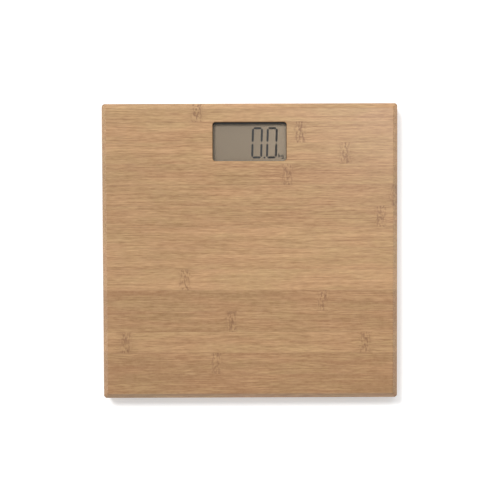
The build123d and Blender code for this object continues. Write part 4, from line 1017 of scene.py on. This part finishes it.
# ---------------------------------------------------------------- operators


def settings(name):
    """A group of the scene's settings."""
    return getattr(bpy.context.scene, name)


class BATHSCALE_OT_platform_board(bpy.types.Operator):
    """Finish the laminated board, with its outer arrises sanded round"""

    bl_idname = "bath_scale.platform_board"
    bl_label = "Platform board"

    def execute(self, context):
        finish = settings("bamboo_finish")
        work = clean_copy("platform_board")
        weights = work.edges.layers.float.new("bevel_weight_edge")
        for edge in work.edges:
            edge[weights] = 1.0 if board_arris(edge) else 0.0
        board = stand_in("platform_board", work, bamboo_material(finish), "platform_board_sanded")
        ease_edges(board, finish.eased_edge, segments=3, by_weight=True)
        return {"FINISHED"}


class BATHSCALE_OT_display_window(bpy.types.Operator):
    """Finish the clear pane and the black gasket that bonds it"""

    bl_idname = "bath_scale.display_window"
    bl_label = "Display window"

    def execute(self, context):
        finish = settings("display_finish")
        pane = clear_layer_material("pane_acrylic", finish.pane_tint, finish.pane_opacity, 0.05)
        paint(pane, "display_window")
        paint(gasket_material(), "display_gasket")
        return {"FINISHED"}


class BATHSCALE_OT_liquid_crystal_display(bpy.types.Operator):
    """Finish the display's layers, its digits, its frame and its rubber connector"""

    bl_idname = "bath_scale.liquid_crystal_display"
    bl_label = "Liquid-crystal display"

    def execute(self, context):
        finish = settings("display_finish")
        film = clear_layer_material("polariser_film", finish.film_tint, finish.film_opacity, 0.12)
        glass = clear_layer_material("display_glass", finish.film_tint, finish.glass_opacity, 0.04)
        paint(film, "lcd_front_polariser")
        paint(glass, "lcd_front_glass")
        paint(display_ground_material(finish), "lcd_rear_glass")
        paint(segment_material(finish), "lcd_segments")
        paint(seal_material(), "lcd_seal")
        backing = sheet_metal_material("reflector_foil", (0.6, 0.6, 0.6), (0.85, 0.85, 0.85), 0.3)
        paint(backing, "lcd_reflector")
        paint(zebra_material(), "zebra_connector")
        white = moulded_material("frame_moulding", (0.7, 0.7, 0.68), (0.8, 0.8, 0.78), 0.5)
        eased_moulding("lcd_frame", white, settings("moulding_finish").eased_edge)
        return {"FINISHED"}


class BATHSCALE_OT_circuit_board(bpy.types.Operator):
    """Finish the circuit board, what is soldered to it and the screws that hold it"""

    bl_idname = "bath_scale.circuit_board"
    bl_label = "Circuit board"

    def execute(self, context):
        paint(circuit_board_material(), "circuit_board")
        drop = soft_blob_material("epoxy_drop", (0.012, 0.012, 0.013), (0.03, 0.03, 0.031), 0.24, 0.4)
        paint(drop, "controller_chip")
        paint(component_material(), "pcb_components")
        finish = settings("moulding_finish")
        case = moulded_material("switch_case", finish.plastic, finish.worn, 0.42)
        eased_moulding("tact_switch", case, finish.eased_edge / 2)
        stem = moulded_material("switch_stem", (0.6, 0.56, 0.46), (0.7, 0.67, 0.58), 0.4)
        eased_moulding("switch_plunger", stem, finish.eased_edge / 2)
        paint(solder_material(), "solder_joints")
        zinc = screw_material("zinc_screw", (0.56, 0.55, 0.52), (0.82, 0.81, 0.78), 0.34, 1.0)
        paint(zinc, "pcb_screws", "frame_screws")
        return {"FINISHED"}


class BATHSCALE_OT_rear_cover(bpy.types.Operator):
    """Finish the rear cover, its screws, its blank label, the battery door and the button"""

    bl_idname = "bath_scale.rear_cover"
    bl_label = "Rear cover"

    def execute(self, context):
        finish = settings("moulding_finish")
        plastic = moulded_material("cover_moulding", finish.plastic, finish.worn, finish.roughness)
        eased_moulding("rear_cover", plastic, finish.eased_edge)
        eased_moulding("battery_door", plastic, finish.eased_edge * 0.7)
        grey = moulded_material("button_moulding", finish.button, finish.button, 0.42)
        eased_moulding("unit_button", grey, finish.eased_edge)
        black = screw_material("black_screw", (0.02, 0.02, 0.021), (0.2, 0.195, 0.19), 0.4, 0.6)
        paint(black, "cover_screws")
        paint(label_material(*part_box("rating_label")), "rating_label")
        return {"FINISHED"}


class BATHSCALE_OT_battery(bpy.types.Operator):
    """Finish the coin cell, its two contact strips and its wires"""

    bl_idname = "bath_scale.battery"
    bl_label = "Battery and contacts"

    def execute(self, context):
        low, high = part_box("battery")
        shoulder = high.z - CELL_CAP_HEIGHT
        steel = coin_cell_material((low + high) / 2, shoulder)
        eased_moulding("battery", steel, 0.00012)
        nickel = sheet_metal_material("nickel_strip", (0.5, 0.48, 0.44), (0.8, 0.78, 0.72), 0.26)
        for node in ("contact_negative", "contact_positive"):
            eased_moulding(node, nickel, 0.00004)
        coloured_wires("battery_wires", "battery_wires", wire_material("battery_wires"))
        return {"FINISHED"}


class BATHSCALE_OT_feet(bpy.types.Operator):
    """Finish the foot housings, cups, rubber pads and the screws that hold them"""

    bl_idname = "bath_scale.feet"
    bl_label = "Feet"

    def execute(self, context):
        finish = settings("moulding_finish")
        plastic = moulded_material("foot_moulding", finish.plastic, finish.worn, finish.roughness)
        rubber = moulded_material(
            "pad_rubber", finish.rubber, (0.1, 0.098, 0.094), 0.78, 1700.0, 0.35, 0.00006
        )
        for kind, material in (("foot_housing", plastic), ("foot_cup", plastic), ("foot_pad", rubber)):
            for node in on_each_foot(kind):
                eased_moulding(node, material, finish.eased_edge)
        zinc = screw_material("foot_screw_zinc", (0.5, 0.49, 0.46), (0.8, 0.79, 0.76), 0.36, 1.0)
        paint(zinc, "foot_screws")
        return {"FINISHED"}


class BATHSCALE_OT_load_cells(bpy.types.Operator):
    """Finish the load cells, the silicone on their gauges, their wires and the hot glue"""

    bl_idname = "bath_scale.load_cells"
    bl_label = "Load cells and wires"

    def execute(self, context):
        steel = sheet_metal_material("load_cell_plate", (0.4, 0.4, 0.41), (0.7, 0.7, 0.71), 0.32)
        for foot in FEET:
            cell = eased_moulding(f"load_cell_{foot}", steel, 0.00015)
            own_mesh(cell)
        silicone = soft_blob_material(
            "gauge_silicone", (0.72, 0.71, 0.68), (0.5, 0.49, 0.46), 0.42, 0.1
        )
        paint(silicone, *on_each_foot("gauge_cover"))
        insulation = wire_material("cell_wires")
        for node in on_each_foot("cell_wires"):
            coloured_wires(node, "cell_wires", insulation)
        glue = soft_blob_material("hot_glue_milky", (0.64, 0.61, 0.52), (0.42, 0.4, 0.33), 0.3, 0.5)
        paint(glue, "hot_glue_dabs")
        return {"FINISHED"}


class BATHSCALE_OT_stage(bpy.types.Operator):
    """Lay the pale floor, hang the lights and place the camera over the scale"""

    bl_idname = "bath_scale.stage"
    bl_label = "Floor, lights and camera"

    def execute(self, context):
        stage = settings("stage_settings")
        context.scene.view_settings.view_transform = "Standard"
        context.scene.cycles.transparent_max_bounces = CLEAR_SURFACES
        light_world(stage)
        lay_floor(stage)
        hang_lights(stage)
        place_camera(stage)
        return {"FINISHED"}


# ---------------------------------------------------------------- stage

KEY_PLACE = (-0.42, 0.6, 1.0)
KEY_SPREAD = math.radians(20.0)
SHEEN_PLACE = (0.22, 0.23, 0.62)
SHEEN_SIZE = 0.25


def light_world(stage):
    """An even light from all round, in front of a white sweep."""
    world = bpy.data.worlds.new("studio")
    world.use_nodes = True
    graph = Graph(world.node_tree)
    background = world.node_tree.nodes["Background"]
    seen = graph.add("ShaderNodeLightPath").outputs["Is Camera Ray"]
    strength = graph.scaled(seen, 1.0 - stage.ambient, stage.ambient)
    graph.feed(background.inputs["Color"], (1.0, 1.0, 1.0))
    graph.feed(background.inputs["Strength"], strength)
    bpy.context.scene.world = world


def lay_floor(stage):
    """A broad matt white floor under the feet, seen only from above."""
    graph = Surface("floor_white")
    below = graph.add("ShaderNodeNewGeometry").outputs["Backfacing"]
    cloud = graph.noise(graph.place(), 3.0)
    darker = tuple(value * 0.99 for value in stage.floor)
    material = graph.set(
        Base_Color=graph.mix(cloud, darker, stage.floor),
        Roughness=0.9,
        Specular_IOR_Level=0.1,
        Emission_Color=(1.0, 1.0, 1.0),
        Emission_Strength=stage.floor_glow,
        Alpha=graph.minus(1.0, below),
    )
    work = bmesh.new()
    bmesh.ops.create_grid(work, x_segments=8, y_segments=8, size=stage.floor_size)
    mesh = bpy.data.meshes.new("floor")
    work.to_mesh(mesh)
    work.free()
    mesh.materials.append(material)
    floor = bpy.data.objects.new("floor", mesh)
    floor.location.z = CAD_BOX[0][2] - FLOOR_GAP
    bpy.context.scene.collection.objects.link(floor)


def hang_light(name, kind, place, energy, **shape):
    """One light, turned towards the middle of the board."""
    data = bpy.data.lights.new(name, kind)
    data.energy = energy
    for label, value in shape.items():
        setattr(data, label, value)
    light = bpy.data.objects.new(name, data)
    light.location = place
    light.rotation_euler = (-Vector(place)).to_track_quat("-Z", "Y").to_euler()
    light.visible_camera = False
    bpy.context.scene.collection.objects.link(light)


def hang_lights(stage):
    """A broad key from the far left, and a soft box that glints off the far right corner."""
    hang_light("key", "SUN", KEY_PLACE, stage.key, angle=KEY_SPREAD)
    hang_light("sheen_box", "AREA", SHEEN_PLACE, stage.sheen_light, size=SHEEN_SIZE)


def place_camera(stage):
    """The camera, almost straight above the board."""
    data = bpy.data.cameras.new("camera")
    data.lens = stage.camera_lens
    camera = bpy.data.objects.new("camera", data)
    camera.location = (stage.camera_x, stage.camera_y, stage.camera_height)
    camera.rotation_euler = (stage.camera_tilt, stage.camera_lean, stage.camera_roll)
    bpy.context.scene.collection.objects.link(camera)
    bpy.context.scene.camera = camera


# ---------------------------------------------------------------- add-on

OPERATORS = (
    BATHSCALE_OT_platform_board,
    BATHSCALE_OT_display_window,
    BATHSCALE_OT_liquid_crystal_display,
    BATHSCALE_OT_circuit_board,
    BATHSCALE_OT_rear_cover,
    BATHSCALE_OT_battery,
    BATHSCALE_OT_feet,
    BATHSCALE_OT_load_cells,
    BATHSCALE_OT_stage,
)

SETTINGS = {
    "bamboo_finish": BambooFinish,
    "moulding_finish": MouldingFinish,
    "display_finish": DisplayFinish,
    "stage_settings": StageSettings,
}


class BATHSCALE_PT_sidebar(bpy.types.Panel):
    """Lists the pieces of the scale and its stage"""

    bl_idname = "BATHSCALE_PT_sidebar"
    bl_label = "Bamboo bathroom scale"
    bl_space_type = "VIEW_3D"
    bl_region_type = "UI"
    bl_category = "Scale"

    def draw(self, context):
        column = self.layout.column(align=True)
        for operator in OPERATORS:
            column.operator(operator.bl_idname)
        for name, group in SETTINGS.items():
            box = self.layout.box()
            box.label(text=group.__doc__)
            for label in group.__annotations__:
                box.prop(getattr(context.scene, name), label)


def register():
    for group in SETTINGS.values():
        bpy.utils.register_class(group)
    for name, group in SETTINGS.items():
        setattr(bpy.types.Scene, name, PointerProperty(type=group))
    for operator in OPERATORS:
        bpy.utils.register_class(operator)
    bpy.utils.register_class(BATHSCALE_PT_sidebar)


def unregister():
    bpy.utils.unregister_class(BATHSCALE_PT_sidebar)
    for operator in reversed(OPERATORS):
        bpy.utils.unregister_class(operator)
    for name, group in SETTINGS.items():
        delattr(bpy.types.Scene, name)
        bpy.utils.unregister_class(group)


def main():
    register()
    for operator in OPERATORS:
        category, name = operator.bl_idname.split(".")
        getattr(getattr(bpy.ops, category), name)()


if __name__ == "__main__":
    main()
